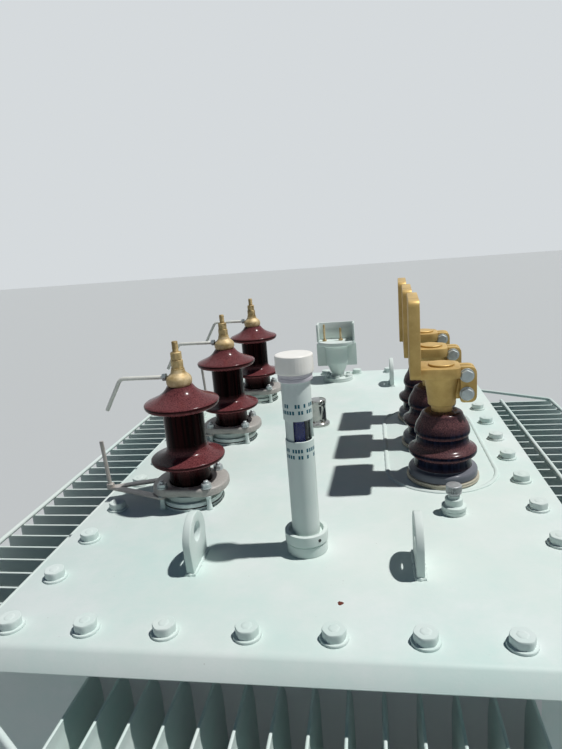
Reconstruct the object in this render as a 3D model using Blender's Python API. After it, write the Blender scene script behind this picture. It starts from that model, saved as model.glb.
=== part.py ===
# Oil-filled distribution transformer with a corrugated tank, built from the ground up.
# Metres, +Z up, +Y along the tank away from the gauge end, origin on the ground under the middle.
import math

import bmesh
import bpy
from mathutils import Matrix, Vector

# Fits and facets
seat_gap = 0.0003
round_facets = 32
small_facets = 24
rod_facets = 8
bend_facets = 4
crease_angle = 0.6

# Tank
tank_width = 0.680
tank_length = 1.290
wall_thickness = 0.006
wall_height = 1.0665
floor_thickness = 0.010
floor_overhang = 0.012

# Skids under the floor
skid_height = 0.100
skid_width = 0.050
skid_thickness = 0.006
skid_overhang = 0.040
skid_inset = 0.235

# Frame and gasket on the walls
flange_side = 0.080
flange_end = 0.071
flange_thickness = 0.010
gasket_inset = 0.006
gasket_thickness = 0.004

# Cover with both ends folded down at a slant
cover_side = 0.008
cover_flat_inset = 0.0053
cover_thickness = 0.008
cover_bend = 0.014
cover_fold_deg = 45.0
cover_lip = 0.022

# Cooling fins with pressed seams at top and bottom
fin_pitch = 0.045
fin_thickness = 0.008
fin_seam_thickness = 0.003
fin_seam = 0.014
fin_taper = 0.030
fin_sheet = 0.004
fin_margin = 0.012
side_bank_inset = 0.055
end_bank_inset = 0.020
side_fin_depth = 0.332
end_fin_depth = 0.177
fin_drop = 0.0647
fin_height = 0.920

# Round bars over and under the fins
bar_radius = 0.005
loop_inset = 0.006
loop_bend = 0.024
rail_reach = 0.178

# High-voltage bushings
hv_edge = 0.182
hv_middle_y = 0.0495
hv_lug_gap = 0.125
hv_base_radius = 0.059
hv_base_height = 0.014
hv_flange_radius = 0.053
hv_flange_height = 0.012
hv_foot_radius = 0.040
hv_core_radius = 0.0385
hv_neck_radius = 0.0245
hv_shed_radius = 0.071
hv_height = 0.231
hv_lower_shed = 0.079
hv_upper_shed = 0.186
hv_shed_rise = 0.031
shed_shares = ((0.0, 0.0), (0.55, 0.02), (0.92, 0.16), (1.0, 0.32), (0.96, 0.42), (0.62, 0.52), (0.30, 0.66), (0.10, 0.82), (0.0, 1.0))
crown_low_shares = ((0.0, 0.0), (0.55, 0.02), (0.92, 0.12), (1.0, 0.26))
crown_high_shares = ((0.96, 0.34), (0.70, 0.44), (0.42, 0.56), (0.22, 0.70), (0.08, 0.86), (0.0, 1.0))

# Cast clamp rings with four lobes
clamp_radius = 0.067
clamp_oval = 0.011
clamp_wave = 0.004
clamp_height = 0.016

# Brass caps with studs
cap_radius = 0.0255
cap_height = 0.031
cap_shares = ((0.88, 0.0), (0.99, 0.20), (1.0, 0.42), (0.92, 0.62), (0.74, 0.80), (0.58, 0.92), (0.50, 1.0))
stud_radius = 0.006
stud_height = 0.053

# Arcing horns
horn_radius = 0.004
horn_bend = 0.014
upper_horn_share = 0.53
upper_horn_reach = 0.091
upper_horn_out = 0.036
upper_horn_drop = 0.062
lower_horn_tip = 0.171
lower_horn_seat = 0.046
lower_horn_bar = 0.008
lower_horn_thickness = 0.005
lower_horn_height = 0.096
lower_horn_lean = 0.005

# Insert plate under the low-voltage bushings
lv_edge = 0.186
lv_middle_y = -0.0182
lv_spacing = 0.1853
pad_width = 0.216
pad_reach = 0.1535
pad_thickness = 0.002
pad_facets = 10

# Low-voltage bushings
lv_ring_radius = 0.0695
lv_ring_height = 0.008
lv_flange_radius = 0.0665
lv_core_radius = 0.052
lv_height = 0.128
lv_radius_shares = (1.0, 1.0, 0.97, 0.83, 0.80, 0.94, 0.98, 0.96, 0.78, 0.74, 0.80, 0.81, 0.76, 0.62, 0.58)
lv_height_shares = (0.0, 0.09, 0.12, 0.135, 0.29, 0.32, 0.38, 0.43, 0.50, 0.60, 0.65, 0.73, 0.82, 0.90, 1.0)

# Low-voltage terminals
neck_radius = 0.020
neck_height = 0.012
cone_low_radius = 0.026
cone_high_radius = 0.035
cone_height = 0.062
plate_low = 0.069
plate_thickness = 0.020
plate_end = 0.034
plate_half = 0.038
plate_corner = 0.014
disc_radius = 0.0245
disc_rise = 0.004
blade_offset = 0.050
blade_thickness = 0.020
blade_width = 0.150
blade_low = 0.077
blade_top = 0.222
blade_chamfer = 0.012
ear_low = 0.018
ear_high = 0.088
ear_reach = 0.063
ear_half = 0.018
ear_corner = 0.012
ear_slot = 0.006
terminal_turn_deg = 2.5

# Lifting lugs
lug_side = 0.258
lug_end = 0.2185
lug_thickness = 0.012
lug_width = 0.080
lug_foot = 0.072
lug_height = 0.0845
lug_hole_radius = 0.015
lug_hole_height = 0.054

# Oil gauge and filler tube
gauge_end = 0.2635
collar_radius = 0.034
collar_low_radius = 0.0325
collar_height = 0.036
collar_low_height = 0.017
collar_groove = 0.0012
collar_recess = 0.006
recess_radius = 0.027
tube_radius = 0.0218
tube_bore = 0.0192
tube_top = 0.219
window_low = 0.187
window_back = 0.004
sight_radius = 0.0185
sight_low = 0.150
sleeve_radius = 0.0223
sleeve_height = 0.0595
band_radius = 0.0262
band_height = 0.0115
white_cap_radius = 0.0288
white_cap_height = 0.028
white_cap_round = 0.004

# Oil sampling plug
plug_side = 0.185
plug_ahead = 0.1505
plug_base_radius = 0.021
plug_height = 0.052
plug_shares = ((0.97, 0.0), (0.97, 0.12), (0.92, 0.12), (0.92, 0.15), (1.0, 0.15), (1.0, 0.28), (0.72, 0.30), (0.72, 0.53), (0.48, 0.56), (0.48, 0.69), (0.64, 0.71), (0.64, 0.97), (0.58, 1.0))

# Relief valve with a plated dome
relief_x = -0.034
relief_y = 0.135
relief_radius = 0.029
relief_height = 0.069
relief_shares = ((1.0, 0.0), (1.0, 0.09), (0.84, 0.12), (0.75, 0.17), (0.72, 0.24), (0.72, 0.80), (0.76, 0.83), (0.77, 0.97), (0.73, 1.0))

# Cast protection head at the far end
head_x = -0.008
head_end = 0.1305
head_flange_radius = 0.0515
head_flange_height = 0.012
head_rim_radius = 0.0625
head_height = 0.124
head_shares = ((0.35, 0.0), (0.35, 0.10), (0.42, 0.18), (0.55, 0.34), (0.60, 0.42), (0.61, 0.80), (0.76, 0.86), (1.0, 0.91), (1.0, 1.0))
wing_width = 0.134
wing_thickness = 0.008
wing_height = 0.078
wing_drop = 0.010
tray_width = 0.126
tray_depth = 0.056
tray_wall = 0.006
tray_height = 0.058

# Sizes that follow from the ones above
flange_width = tank_width + 2 * flange_side
flange_length = tank_length + 2 * flange_end
cover_width = flange_width + 2 * cover_side
cover_fold = math.radians(cover_fold_deg)
cover_slope_drop = cover_lip - cover_bend * (1 - math.cos(cover_fold))
cover_fold_reach = cover_bend * math.sin(cover_fold) + cover_slope_drop / math.tan(cover_fold)
cover_flat_end = flange_length / 2 - cover_flat_inset
cover_length = 2 * (cover_flat_end + cover_fold_reach)
skid_length = tank_width + 2 * skid_overhang
side_fin_count = int((tank_length - 2 * side_bank_inset) / fin_pitch)
end_fin_count = int((tank_width - 2 * end_bank_inset) / fin_pitch)
hv_x = hv_edge - cover_width / 2
lv_x = cover_width / 2 - lv_edge
lug_x = cover_width / 2 - lug_side
lug_y = cover_length / 2 - lug_end
hv_spacing = lug_y - hv_lug_gap - hv_middle_y
gauge_y = gauge_end - cover_length / 2
head_y = cover_length / 2 - head_end
plug_x = cover_width / 2 - plug_side
plug_y = lv_middle_y - lv_spacing - plug_ahead

for old in list(bpy.data.objects):
    bpy.data.objects.remove(old, do_unlink=True)


def material(name, colour, metallic, roughness):
    made = bpy.data.materials.new(name)
    made.use_nodes = True
    shader = made.node_tree.nodes["Principled BSDF"]
    shader.inputs["Base Color"].default_value = (*colour, 1.0)
    shader.inputs["Metallic"].default_value = metallic
    shader.inputs["Roughness"].default_value = roughness
    return made


paint = material("tank_paint", (0.60, 0.69, 0.65), 0.0, 0.45)
dark_rubber = material("gasket_rubber", (0.03, 0.03, 0.03), 0.0, 0.8)
porcelain = material("brown_porcelain", (0.16, 0.05, 0.04), 0.0, 0.15)
brass = material("cast_brass", (0.60, 0.42, 0.18), 1.0, 0.35)
casting = material("cast_aluminium", (0.55, 0.57, 0.58), 1.0, 0.5)
zinc = material("zinc_steel", (0.60, 0.63, 0.65), 1.0, 0.35)
clear = material("sight_tube", (0.05, 0.08, 0.20), 0.0, 0.1)
white_plastic = material("white_plastic", (0.85, 0.84, 0.80), 0.0, 0.4)
plated = material("plated_dome", (0.70, 0.70, 0.72), 1.0, 0.1)


def add(name, form, surface, place=(0.0, 0.0, 0.0), smooth=False):
    """A mesh object from a bmesh, its faces turned outward."""
    bmesh.ops.recalc_face_normals(form, faces=form.faces)
    mesh = bpy.data.meshes.new(name)
    form.to_mesh(mesh)
    form.free()
    mesh.materials.append(surface)
    if smooth:
        mesh.shade_smooth()
        mesh.set_sharp_from_angle(angle=crease_angle)
    made = bpy.data.objects.new(name, mesh)
    made.location = place
    bpy.context.scene.collection.objects.link(made)
    return made


def prism_form(outline, low, high):
    """An outline in X and Y carried from one height to another."""
    form = bmesh.new()
    below = [form.verts.new((x, y, low)) for x, y in outline]
    above = [form.verts.new((x, y, high)) for x, y in outline]
    form.faces.new(below)
    form.faces.new(above)
    for at in range(len(outline)):
        after = (at + 1) % len(outline)
        form.faces.new((below[at], below[after], above[after], above[at]))
    return form


def ring_form(outer, inner, low, high):
    """A frame between two outlines with as many points each."""
    form = bmesh.new()
    loops = []
    for outline, height in ((outer, low), (outer, high), (inner, high), (inner, low)):
        loops.append([form.verts.new((x, y, height)) for x, y in outline])
    for at in range(len(outer)):
        after = (at + 1) % len(outer)
        for first in range(4):
            second = (first + 1) % 4
            form.faces.new((loops[first][at], loops[first][after], loops[second][after], loops[second][at]))
    return form


def turned_form(profile, facets):
    """A profile of radius and height turned round Z, closed by flat ends."""
    form = bmesh.new()
    rings = []
    for radius, height in profile:
        ring = []
        for at in range(facets):
            angle = math.tau * at / facets
            ring.append(form.verts.new((radius * math.cos(angle), radius * math.sin(angle), height)))
        rings.append(ring)
    form.faces.new(rings[0])
    form.faces.new(rings[-1])
    for low, high in zip(rings, rings[1:]):
        for at in range(facets):
            after = (at + 1) % facets
            form.faces.new((low[at], low[after], high[after], high[at]))
    return form


def rectangle(width, length):
    return [(-width / 2, -length / 2), (width / 2, -length / 2), (width / 2, length / 2), (-width / 2, length / 2)]


def rounded_rectangle(width, length, corner, facets):
    outline = []
    for turn, (side, end) in enumerate(((1, 1), (-1, 1), (-1, -1), (1, -1))):
        for at in range(facets + 1):
            angle = (turn + at / facets) * math.pi / 2
            x = side * (width / 2 - corner) + corner * math.cos(angle)
            y = end * (length / 2 - corner) + corner * math.sin(angle)
            outline.append((x, y))
    return outline


def rounded_path(points, bend, closed=False):
    """Corner points with each inner corner replaced by an arc."""
    path = []
    count = len(points)
    for at, point in enumerate(points):
        if not closed and at in (0, count - 1):
            path.append(Vector(point))
            continue
        corner = Vector(point)
        before = (Vector(points[at - 1]) - corner).normalized()
        after = (Vector(points[(at + 1) % count]) - corner).normalized()
        half = before.angle(after) / 2
        back = bend / math.tan(half)
        middle = corner + (before + after).normalized() * bend / math.sin(half)
        start = corner + before * back - middle
        end = corner + after * back - middle
        sweep = start.angle(end)
        for step in range(bend_facets + 1):
            part = sweep * step / bend_facets
            path.append(middle + (start * math.sin(sweep - part) + end * math.sin(part)) / math.sin(sweep))
    return path


def rod_form(path, radius, closed=False):
    """A round rod along a path, with flat ends or closed on itself."""
    form = bmesh.new()
    rings = []
    count = len(path)
    side = None
    for at, point in enumerate(path):
        ahead = path[(at + 1) % count] if closed or at < count - 1 else point
        behind = path[at - 1] if closed or at > 0 else point
        onward = (ahead - behind).normalized()
        if side is None:
            side = onward.orthogonal().normalized()
        side = (side - onward * side.dot(onward)).normalized()
        other = onward.cross(side)
        ring = []
        for turn in range(rod_facets):
            angle = math.tau * turn / rod_facets
            ring.append(form.verts.new(point + radius * (side * math.cos(angle) + other * math.sin(angle))))
        rings.append(ring)
    pairs = list(zip(rings, rings[1:]))
    if closed:
        pairs.append((rings[-1], rings[0]))
    else:
        form.faces.new(rings[0])
        form.faces.new(rings[-1])
    for low, high in pairs:
        for turn in range(rod_facets):
            after = (turn + 1) % rod_facets
            form.faces.new((low[turn], low[after], high[after], high[turn]))
    return form


def stack_form(levels):
    """Outlines with as many points each, joined one above another."""
    form = bmesh.new()
    loops = [[form.verts.new((x, y, height)) for x, y in outline] for outline, height in levels]
    form.faces.new(loops[0])
    form.faces.new(loops[-1])
    for low, high in zip(loops, loops[1:]):
        for at in range(len(low)):
            after = (at + 1) % len(low)
            form.faces.new((low[at], low[after], high[after], high[at]))
    return form


def circle(radius):
    steps = range(round_facets)
    return [(radius * math.cos(math.tau * at / round_facets), radius * math.sin(math.tau * at / round_facets)) for at in steps]


def turned_by(form, matrix):
    bmesh.ops.transform(form, matrix=matrix, verts=form.verts)
    return form


def across(form):
    """A form drawn in Y and Z and carried along X."""
    return turned_by(form, Matrix(((0, 0, 1, 0), (1, 0, 0, 0), (0, 1, 0, 0), (0, 0, 0, 1))))


def upright(form):
    """A form drawn in X and Z and carried along Y."""
    return turned_by(form, Matrix(((1, 0, 0, 0), (0, 0, 1, 0), (0, 1, 0, 0), (0, 0, 0, 1))))


def combine(main, other, operation):
    """The other piece joined to or cut from the main one, and kept out of the build."""
    other.hide_render = True
    other.display_type = "WIRE"
    modifier = main.modifiers.new(other.name, "BOOLEAN")
    modifier.operation = operation
    modifier.solver = "EXACT"
    modifier.object = other


# Upright stack from the ground to the cover
floor_z = skid_height + seat_gap
wall_z = floor_z + floor_thickness + seat_gap
wall_top = wall_z + wall_height
flange_z = wall_top + seat_gap
gasket_z = flange_z + flange_thickness + seat_gap
cover_under = gasket_z + gasket_thickness + seat_gap
cover_z = cover_under + cover_thickness
seat_z = cover_z + seat_gap
fin_top = wall_top - fin_drop
fin_low = fin_top - fin_height

# Two steel channels lie across the tank and carry it on their lower flanges
for name, end in (("skid_front", -1), ("skid_back", 1)):
    web = end * skid_thickness
    toe = end * skid_width
    channel = [
        (0.0, 0.0), (toe, 0.0), (toe, skid_thickness), (web, skid_thickness),
        (web, skid_height - skid_thickness), (toe, skid_height - skid_thickness), (toe, skid_height), (0.0, skid_height),
    ]
    form = across(prism_form(channel, -skid_length / 2, skid_length / 2))
    add(name, form, paint, (0.0, end * (tank_length / 2 - skid_inset - skid_width), 0.0))

# The floor plate closes the tank walls from below
floor_outline = rectangle(tank_width + floor_overhang, tank_length + floor_overhang)
add("tank_floor", prism_form(floor_outline, 0.0, floor_thickness), paint, (0.0, 0.0, floor_z))

# Four walls of sheet stand on the floor
inside_width = tank_width - 2 * wall_thickness
inside_length = tank_length - 2 * wall_thickness
walls = ring_form(rectangle(tank_width, tank_length), rectangle(inside_width, inside_length), 0.0, wall_height)
add("tank_walls", walls, paint, (0.0, 0.0, wall_z))

# A flat frame on the walls takes the cover bolts
frame = ring_form(rectangle(flange_width, flange_length), rectangle(inside_width, inside_length), 0.0, flange_thickness)
add("top_flange", frame, paint, (0.0, 0.0, flange_z))

# The gasket lies between the frame and the cover
gasket_outer = rectangle(flange_width - 2 * gasket_inset, flange_length - 2 * gasket_inset)
gasket = ring_form(gasket_outer, rectangle(inside_width, inside_length), 0.0, gasket_thickness)
add("cover_gasket", gasket, dark_rubber, (0.0, 0.0, gasket_z))

# The cover plate is folded down to a slanting lip at each end
lip_outline = []
for end in (1, -1):
    centre = end * cover_flat_end
    inner_bend = cover_bend - cover_thickness
    outside = []
    inside = []
    for step in range(bend_facets + 1):
        angle = cover_fold * step / bend_facets
        sweep = end * math.sin(angle)
        up = math.cos(angle)
        outside.append((centre + sweep * cover_bend, up * cover_bend - cover_bend))
        inside.append((centre + sweep * inner_bend, up * inner_bend - cover_bend))
    edge = (end * cover_length / 2, -cover_lip)
    under_edge = (edge[0] - sweep * cover_thickness, -cover_lip - up * cover_thickness)
    folded = outside + [edge, under_edge] + inside[::-1]
    lip_outline += folded if end > 0 else folded[::-1]
add("cover", across(prism_form(lip_outline, -cover_width / 2, cover_width / 2)), paint, (0.0, 0.0, cover_z), True)


def comb(count, depth, thickness):
    """The outline of a back sheet along Y with fins standing out along X."""
    half = (count - 1) * fin_pitch / 2 + fin_thickness / 2 + fin_margin
    outline = [(0.0, half), (0.0, -half), (fin_sheet, -half)]
    for at in range(count):
        middle = (at - (count - 1) / 2) * fin_pitch
        low = middle - thickness / 2
        high = middle + thickness / 2
        outline += [(fin_sheet, low), (depth, low), (depth, high), (fin_sheet, high)]
    outline.append((fin_sheet, half))
    return outline


# Four banks of pressed sheet fins cool the oil, each fin pinched to a seam at both ends
side_out = tank_width / 2 + seat_gap
end_out = tank_length / 2 + seat_gap
banks = (
    ("fins_right", side_fin_count, side_fin_depth, (side_out, 0.0), 0.0),
    ("fins_back", end_fin_count, end_fin_depth, (0.0, end_out), math.pi / 2),
    ("fins_left", side_fin_count, side_fin_depth, (-side_out, 0.0), math.pi),
    ("fins_front", end_fin_count, end_fin_depth, (0.0, -end_out), -math.pi / 2),
)
for name, count, depth, (x, y), angle in banks:
    seam = comb(count, depth, fin_seam_thickness)
    full = comb(count, depth, fin_thickness)
    pinch = fin_seam + fin_taper
    levels = [
        (seam, 0.0), (seam, fin_seam), (full, pinch),
        (full, fin_height - pinch), (seam, fin_height - fin_seam), (seam, fin_height),
    ]
    bank = add(name, stack_form(levels), paint, (x, y, fin_low))
    bank.rotation_euler = (0.0, 0.0, angle)

# Round bars tie the fin tips together in a loop above and below
loop_x = side_out + side_fin_depth - loop_inset
loop_y = end_out + end_fin_depth - loop_inset
side_run = (side_fin_count - 1) * fin_pitch / 2
end_run = (end_fin_count - 1) * fin_pitch / 2
loop_points = []
for side, end in ((1, 1), (-1, 1), (-1, -1), (1, -1)):
    by_side = (side * loop_x, end * side_run, 0.0)
    by_end = (side * end_run, end * loop_y, 0.0)
    loop_points += [by_side, by_end] if side * end > 0 else [by_end, by_side]
for name, height in (("bar_loop_top", fin_top + seat_gap + bar_radius), ("bar_loop_low", fin_low - seat_gap - bar_radius)):
    path = rounded_path(loop_points, loop_bend, True)
    add(name, rod_form(path, bar_radius, True), paint, (0.0, 0.0, height), True)

# A second bar lies half way out on each side bank
rail_half = side_run + fin_thickness / 2
for name, side in (("rail_right", 1), ("rail_left", -1)):
    x = side * (side_out + rail_reach)
    path = [Vector((x, -rail_half, 0.0)), Vector((x, rail_half, 0.0))]
    add(name, rod_form(path, bar_radius), paint, (0.0, 0.0, fin_top + seat_gap + bar_radius), True)

# Brown porcelain bushings in a row along the left side carry the high voltage
reach = hv_shed_radius - hv_core_radius
neck_reach = hv_shed_radius - hv_neck_radius
crown_rise = hv_height - hv_upper_shed
foot_z = hv_base_height + seat_gap
flange_z = foot_z + hv_flange_height
hv_profile = [(hv_flange_radius, foot_z), (hv_flange_radius, flange_z), (hv_foot_radius, flange_z), (hv_foot_radius, hv_lower_shed)]
for out_share, up_share in shed_shares:
    hv_profile.append((hv_core_radius + reach * out_share, hv_lower_shed + hv_shed_rise * up_share))
for out_share, up_share in crown_low_shares:
    hv_profile.append((hv_core_radius + reach * out_share, hv_upper_shed + crown_rise * up_share))
for out_share, up_share in crown_high_shares:
    hv_profile.append((hv_neck_radius + neck_reach * out_share, hv_upper_shed + crown_rise * up_share))

for letter, step in (("a", -1), ("b", 0), ("c", 1)):
    y = hv_middle_y + step * hv_spacing
    place = (hv_x, y, seat_z)
    # A turned ring is welded to the cover under each bushing
    add("hv_base_" + letter, turned_form([(hv_base_radius, 0.0), (hv_base_radius, hv_base_height)], round_facets), paint, place, True)
    add("hv_porcelain_" + letter, turned_form(hv_profile, round_facets), porcelain, place, True)

    # A cast ring with four lobes holds the bushing foot down
    bore = hv_foot_radius + seat_gap
    outer = []
    inner = []
    for at in range(round_facets):
        angle = math.tau * at / round_facets
        radius = clamp_radius + clamp_oval * math.cos(angle * 2) - clamp_wave * math.cos(angle * 4)
        outer.append((radius * math.cos(angle), radius * math.sin(angle)))
        inner.append((bore * math.cos(angle) / math.cos(math.pi / round_facets), bore * math.sin(angle) / math.cos(math.pi / round_facets)))
    clamp_z = flange_z + seat_gap
    add("hv_clamp_" + letter, ring_form(outer, inner, clamp_z, clamp_z + clamp_height), casting, place, True)

    # A brass cap with its stud sits on the porcelain neck
    cap_z = seat_z + hv_height + seat_gap
    cap_profile = [(cap_radius * out_share, cap_height * up_share) for out_share, up_share in cap_shares]
    cap_profile += [(stud_radius, cap_height), (stud_radius, cap_height + stud_height)]
    add("hv_cap_" + letter, turned_form(cap_profile, small_facets), brass, (hv_x, y, cap_z), True)

    # The upper horn leaves the cap sideways and bends down over the cover edge
    start_x = hv_x - cap_radius - seat_gap
    horn_z = cap_z + cap_height * upper_horn_share
    points = [
        (start_x, y, horn_z),
        (start_x - upper_horn_reach, y, horn_z),
        (start_x - upper_horn_reach - upper_horn_out, y, horn_z - upper_horn_drop),
    ]
    add("horn_upper_" + letter, rod_form(rounded_path(points, horn_bend), horn_radius), zinc, smooth=True)

    # The lower horn is a forked strap under two lobes of the clamp with an upright rod at its tip
    slope = math.atan2(lower_horn_seat, lower_horn_tip - lower_horn_seat)
    along = Vector((math.cos(slope), math.sin(slope))) * lower_horn_bar
    aside = Vector((-math.sin(slope), math.cos(slope))) * lower_horn_bar
    tip = Vector((-lower_horn_tip, 0.0))
    seat = Vector((-lower_horn_seat, lower_horn_seat))
    upper_half = [seat - aside + along, seat + aside + along, tip + aside]
    strap = [(tip.x + lower_horn_bar / math.sin(slope), 0.0)]
    strap += [(point.x, point.y) for point in upper_half]
    strap.append((tip.x - lower_horn_bar, 0.0))
    strap += [(point.x, -point.y) for point in reversed(upper_half)]
    strap_z = seat_z + clamp_z - seat_gap - lower_horn_thickness
    horn = add("horn_lower_" + letter, prism_form(strap, 0.0, lower_horn_thickness), zinc, (hv_x, y, strap_z))
    rod_path = [
        Vector((tip.x, 0.0, lower_horn_thickness / 2)),
        Vector((tip.x - lower_horn_lean, 0.0, lower_horn_thickness + lower_horn_height)),
    ]
    rod = add("rod_tool_" + letter, rod_form(rod_path, horn_radius), zinc, (hv_x, y, strap_z))
    combine(horn, rod, "UNION")

# A plate with round ends is let into the cover under the low-voltage row
pad_outline = rounded_rectangle(pad_width, lv_spacing * 2 + pad_reach, pad_width / 2, pad_facets)
add("lv_pad", prism_form(pad_outline, 0.0, pad_thickness), paint, (lv_x, lv_middle_y, seat_z), True)
lv_z = seat_z + pad_thickness + seat_gap
lv_profile = [
    (lv_flange_radius * out_share, lv_height * up_share) for out_share, up_share in zip(lv_radius_shares, lv_height_shares)
]

# Each terminal was clamped on by hand and stands turned by a little
twist = Matrix.Rotation(-math.radians(terminal_turn_deg), 4, "Z")

for letter, step in (("a", -1), ("b", 0), ("c", 1)):
    y = lv_middle_y + step * lv_spacing
    # A ring seats each bushing on the plate
    ring_outline = [(lv_ring_radius, 0.0), (lv_ring_radius, lv_ring_height)]
    add("lv_ring_" + letter, turned_form(ring_outline, round_facets), zinc, (lv_x, y, lv_z), True)

    # The short porcelain has a wide foot and two close sheds
    body_z = lv_z + lv_ring_height + seat_gap
    add("lv_porcelain_" + letter, turned_form(lv_profile, round_facets), porcelain, (lv_x, y, body_z), True)

    # The brass terminal clamps the stem and carries an upright blade on its left
    place = (lv_x, y, body_z + lv_height + seat_gap)
    body = [
        (neck_radius, 0.0), (neck_radius, neck_height), (cone_low_radius, neck_height),
        (cone_high_radius, neck_height + cone_height), (disc_radius, neck_height + cone_height),
        (disc_radius, plate_low + plate_thickness + disc_rise),
    ]
    terminal = add("lv_terminal_" + letter, turned_form(body, small_facets), brass, place, True)
    plate = [
        (-blade_offset, -plate_half), (plate_end - plate_corner, -plate_half), (plate_end, plate_corner - plate_half),
        (plate_end, plate_half - plate_corner), (plate_end - plate_corner, plate_half), (-blade_offset, plate_half),
    ]
    half = blade_width / 2
    blade = [
        (-half, blade_low), (half, blade_low), (half, blade_top - blade_chamfer), (half - blade_chamfer, blade_top),
        (blade_chamfer - half, blade_top), (-half, blade_top - blade_chamfer),
    ]
    ear = [
        (0.0, ear_low), (ear_reach - ear_corner, ear_low), (ear_reach, ear_low + ear_corner),
        (ear_reach, ear_high - ear_corner), (ear_reach - ear_corner, ear_high), (0.0, ear_high),
    ]
    slot_start = cone_high_radius / 2
    slot = [(slot_start, -ear_slot / 2), (ear_reach * 2, -ear_slot / 2), (ear_reach * 2, ear_slot / 2), (slot_start, ear_slot / 2)]
    blade_left = -blade_offset - blade_thickness / 2
    tools = (
        ("plate_tool_", prism_form(plate, plate_low, plate_low + plate_thickness), "UNION"),
        ("blade_tool_", across(prism_form(blade, blade_left, blade_left + blade_thickness)), "UNION"),
        ("ear_tool_", upright(prism_form(ear, -ear_half, ear_half)), "UNION"),
        ("slot_tool_", prism_form(slot, -neck_height, ear_high + neck_height), "DIFFERENCE"),
    )
    for tool_name, form, operation in tools:
        turned_by(form, twist)
        combine(terminal, add(tool_name + letter, form, brass, place), operation)

# Four lifting lugs of plate stand on the cover, each with a round eye
lug_outline = [(-lug_foot / 2, 0.0), (lug_foot / 2, 0.0)]
for at in range(round_facets // 2 + 1):
    angle = math.tau * at / round_facets
    lug_outline.append((lug_width / 2 * math.cos(angle), lug_height - lug_width / 2 + lug_width / 2 * math.sin(angle)))
for name, side, end in (("lug_front_left", -1, -1), ("lug_front_right", 1, -1), ("lug_back_left", -1, 1), ("lug_back_right", 1, 1)):
    place = (side * lug_x, end * lug_y, seat_z)
    lug = add(name, across(prism_form(lug_outline, -lug_thickness / 2, lug_thickness / 2)), paint, place, True)
    drill = turned_form([(lug_hole_radius, -lug_thickness), (lug_hole_radius, lug_thickness)], small_facets)
    turned_by(drill, Matrix.Rotation(math.pi / 2, 4, "Y"))
    turned_by(drill, Matrix.Translation((0.0, 0.0, lug_hole_height)))
    combine(lug, add("eye_tool_" + name, drill, paint, place), "DIFFERENCE")

# The filler and gauge tube stands in a stepped collar with a recess round it
gauge_place = (0.0, gauge_y, seat_z)
recess_floor = collar_height - collar_recess
collar_profile = [
    (collar_low_radius, 0.0), (collar_low_radius, collar_low_height),
    (collar_low_radius - collar_groove, collar_low_height), (collar_low_radius - collar_groove, collar_low_height + collar_groove),
    (collar_radius, collar_low_height + collar_groove), (collar_radius, collar_height),
    (recess_radius, collar_height), (recess_radius, recess_floor),
]
add("gauge_collar", turned_form(collar_profile, round_facets), paint, gauge_place, True)
tube_low = recess_floor + seat_gap
tube = add("gauge_tube", ring_form(circle(tube_radius), circle(tube_bore), tube_low, tube_top), paint, gauge_place, True)
window = prism_form(
    [(-collar_radius, -collar_radius), (collar_radius, -collar_radius), (collar_radius, window_back), (-collar_radius, window_back)],
    window_low,
    tube_top + band_height,
)
combine(tube, add("window_tool", window, paint, gauge_place), "DIFFERENCE")

# A clear tube with a dark float shows through the window
sight = turned_form([(sight_radius, sight_low), (sight_radius, tube_top)], round_facets)
add("gauge_sight", sight, clear, gauge_place, True)
sleeve_low = tube_top + seat_gap
band_low = sleeve_low + sleeve_height
cap_low = band_low + band_height + seat_gap
sleeve_profile = [
    (sleeve_radius, sleeve_low), (sleeve_radius, band_low), (band_radius, band_low), (band_radius, band_low + band_height),
]
add("gauge_sleeve", turned_form(sleeve_profile, round_facets), paint, gauge_place, True)
white_profile = [
    (white_cap_radius, cap_low), (white_cap_radius, cap_low + white_cap_height - white_cap_round),
    (white_cap_radius - white_cap_round, cap_low + white_cap_height),
]
add("gauge_cap", turned_form(white_profile, round_facets), white_plastic, gauge_place, True)

# A turned plug closes the oil sampling point
plug_profile = [(plug_base_radius * out_share, plug_height * up_share) for out_share, up_share in plug_shares]
add("sampling_plug", turned_form(plug_profile, small_facets), zinc, (plug_x, plug_y, seat_z), True)

# A plated dome covers the relief valve
relief_profile = [(relief_radius * out_share, relief_height * up_share) for out_share, up_share in relief_shares]
add("relief_dome", turned_form(relief_profile, round_facets), plated, (relief_x, relief_y, seat_z), True)

# The cast head stands on its own round flange near the far end
flange_profile = [(head_flange_radius, 0.0), (head_flange_radius, head_flange_height)]
add("head_flange", turned_form(flange_profile, round_facets), paint, (head_x, head_y, seat_z), True)
head_place = (head_x, head_y, seat_z + head_flange_height + seat_gap)
head_profile = [(head_rim_radius * out_share, head_height * up_share) for out_share, up_share in head_shares]
head = add("head_body", turned_form(head_profile, round_facets), paint, head_place, True)
wing_top = head_height - wing_drop
wing = prism_form(rectangle(wing_width, wing_thickness), wing_top - wing_height, wing_top)
combine(head, add("wing_tool", wing, paint, head_place), "UNION")

# A tray open to the front stands on the rim of the head
tray = [
    (-tray_width / 2, -tray_depth / 2), (tray_wall - tray_width / 2, -tray_depth / 2),
    (tray_wall - tray_width / 2, tray_depth / 2 - tray_wall), (tray_width / 2 - tray_wall, tray_depth / 2 - tray_wall),
    (tray_width / 2 - tray_wall, -tray_depth / 2), (tray_width / 2, -tray_depth / 2),
    (tray_width / 2, tray_depth / 2), (-tray_width / 2, tray_depth / 2),
]
tray_z = head_height + seat_gap
add("head_tray", prism_form(tray, tray_z, tray_z + tray_height), paint, head_place)
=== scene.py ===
import math

import bmesh
import bpy
from mathutils import Matrix, Vector


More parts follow.
